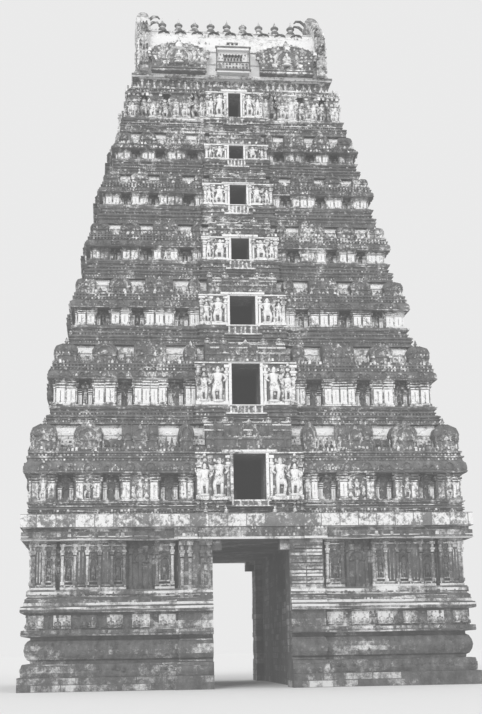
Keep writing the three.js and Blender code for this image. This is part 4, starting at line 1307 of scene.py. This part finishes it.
for number, (storey, tone) in enumerate(zip(STOREYS, TONES), 1):
    front, end = side_of(storey, True), side_of(storey, False)
    zones = [("mouldings", storey_mouldings), ("piers", storey_walls), ("figures", storey_figures),
             ("eave_arches", eave_arches), ("bays", middle_bay)]
    if storey.parapet:
        zones += [("pavilions", storey_pavilions), ("strips", storey_strip)]
    for label, make in zones:
        shape = all_round(lambda on_front: make(front if on_front else end, tone))
        # The strips take the whiter limewash, which is partly painted light against the shade behind the
        # pavilions.
        made, slot = (shade_lifted_limewash, "limewash") if label == "strips" else (carved, "plaster")
        piece(f"tier_{number}_{label}", shape, made)

piece("base_carving", all_round(base_side), carved_stone)
piece("base_mouldings", all_round(base_mouldings), carved_stone)
piece("gate_bays", front_and_back(gate_bays()), carved_stone)
piece("roof_neck_carving", all_round(roof_neck), carved)
piece("roof_bands", roof_bands(), carved)
piece("gable_carving", two_sides(gable_face()), carved)
piece("gable_leaves", front_and_back(gable_edge()), carved)
piece("dormer_carving", front_and_back(both_halves([dormer_face(DORMER_X)])), carved)
piece("niche_carving", front_and_back(niche_face()), carved)
for number, x in enumerate(POT_PLACES, 1):
    pot = piece(f"pot_{number}", finial_pot(x), brass)
    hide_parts(f"finial_{number}")


# The photograph's own camera: its eye, a little left of the axis, and its heading, rise and roll in degrees.
EYE, HEADING, RISE, ROLL, LENS = (-6.129, -63.705, 1.6), 5.944, 13.298, 0.958, 62.7
FLOOR_RADIUS, FLOOR_GREY, SKY_GREY, SUN_AWAY, FARTHEST = 900, 0.75, 0.81, 90, 2000
PRINT_BLACK = -0.09  # the photograph is a faded print, whose blacks are dark grey


def add_camera():
    data = bpy.data.cameras.new("camera")
    data.sensor_fit, data.sensor_height = "VERTICAL", 36
    data.lens, data.clip_end = LENS, FARTHEST
    camera = linked("camera", data)
    camera.location = EYE
    aim = Matrix.Rotation(-math.radians(HEADING), 4, "Z")
    aim = aim @ Matrix.Rotation(math.pi / 2 + math.radians(RISE), 4, "X")
    aim = aim @ Matrix.Rotation(-math.radians(ROLL), 4, "Z")
    camera.rotation_euler = aim.to_euler()
    bpy.context.scene.camera = camera


def add_sun(name, azimuth, height, spread, power):
    """A soft sun from the given side, in degrees from the front towards the right and above the ground."""
    light = bpy.data.lights.new(name, "SUN")
    light.angle, light.energy = math.radians(spread), power
    turn, rise = math.radians(azimuth), math.radians(height)
    towards = Vector((math.sin(turn) * math.cos(rise), -math.cos(turn) * math.cos(rise), math.sin(rise)))
    sun = linked(name, light)
    sun.rotation_euler = towards.to_track_quat("Z", "Y").to_euler()
    sun.location = towards * SUN_AWAY


def add_floor():
    mesh = bpy.data.meshes.new("floor")
    rim = [(FLOOR_RADIUS * x, FLOOR_RADIUS * y, 0) for x, y in loop(96)]
    mesh.from_pydata(rim, [], [range(96)])
    made = bpy.data.materials.new("floor")
    made.use_nodes = True
    shader = made.node_tree.nodes["Principled BSDF"]
    shader.inputs["Base Color"].default_value = (FLOOR_GREY, FLOOR_GREY, FLOOR_GREY, 1)
    shader.inputs["Roughness"].default_value = 0.95
    mesh.materials.append(made)
    floor = linked("floor", mesh)


def add_sky():
    world = bpy.data.worlds.new("sky")
    bpy.context.scene.world = world
    world.use_nodes = True
    sky = world.node_tree.nodes["Background"].inputs
    sky[0].default_value, sky[1].default_value = (SKY_GREY, SKY_GREY, SKY_GREY, 1), 1.0


add_camera()
add_floor()
add_sun("key", -24, 30, 25, 1.4)
add_sun("fill", 20, 12, 60, 0.6)
add_sky()
view = bpy.context.scene.view_settings
view.view_transform = "Standard"
view.use_curve_mapping = True
view.curve_mapping.black_level = (PRINT_BLACK, PRINT_BLACK, PRINT_BLACK)
view.curve_mapping.update()
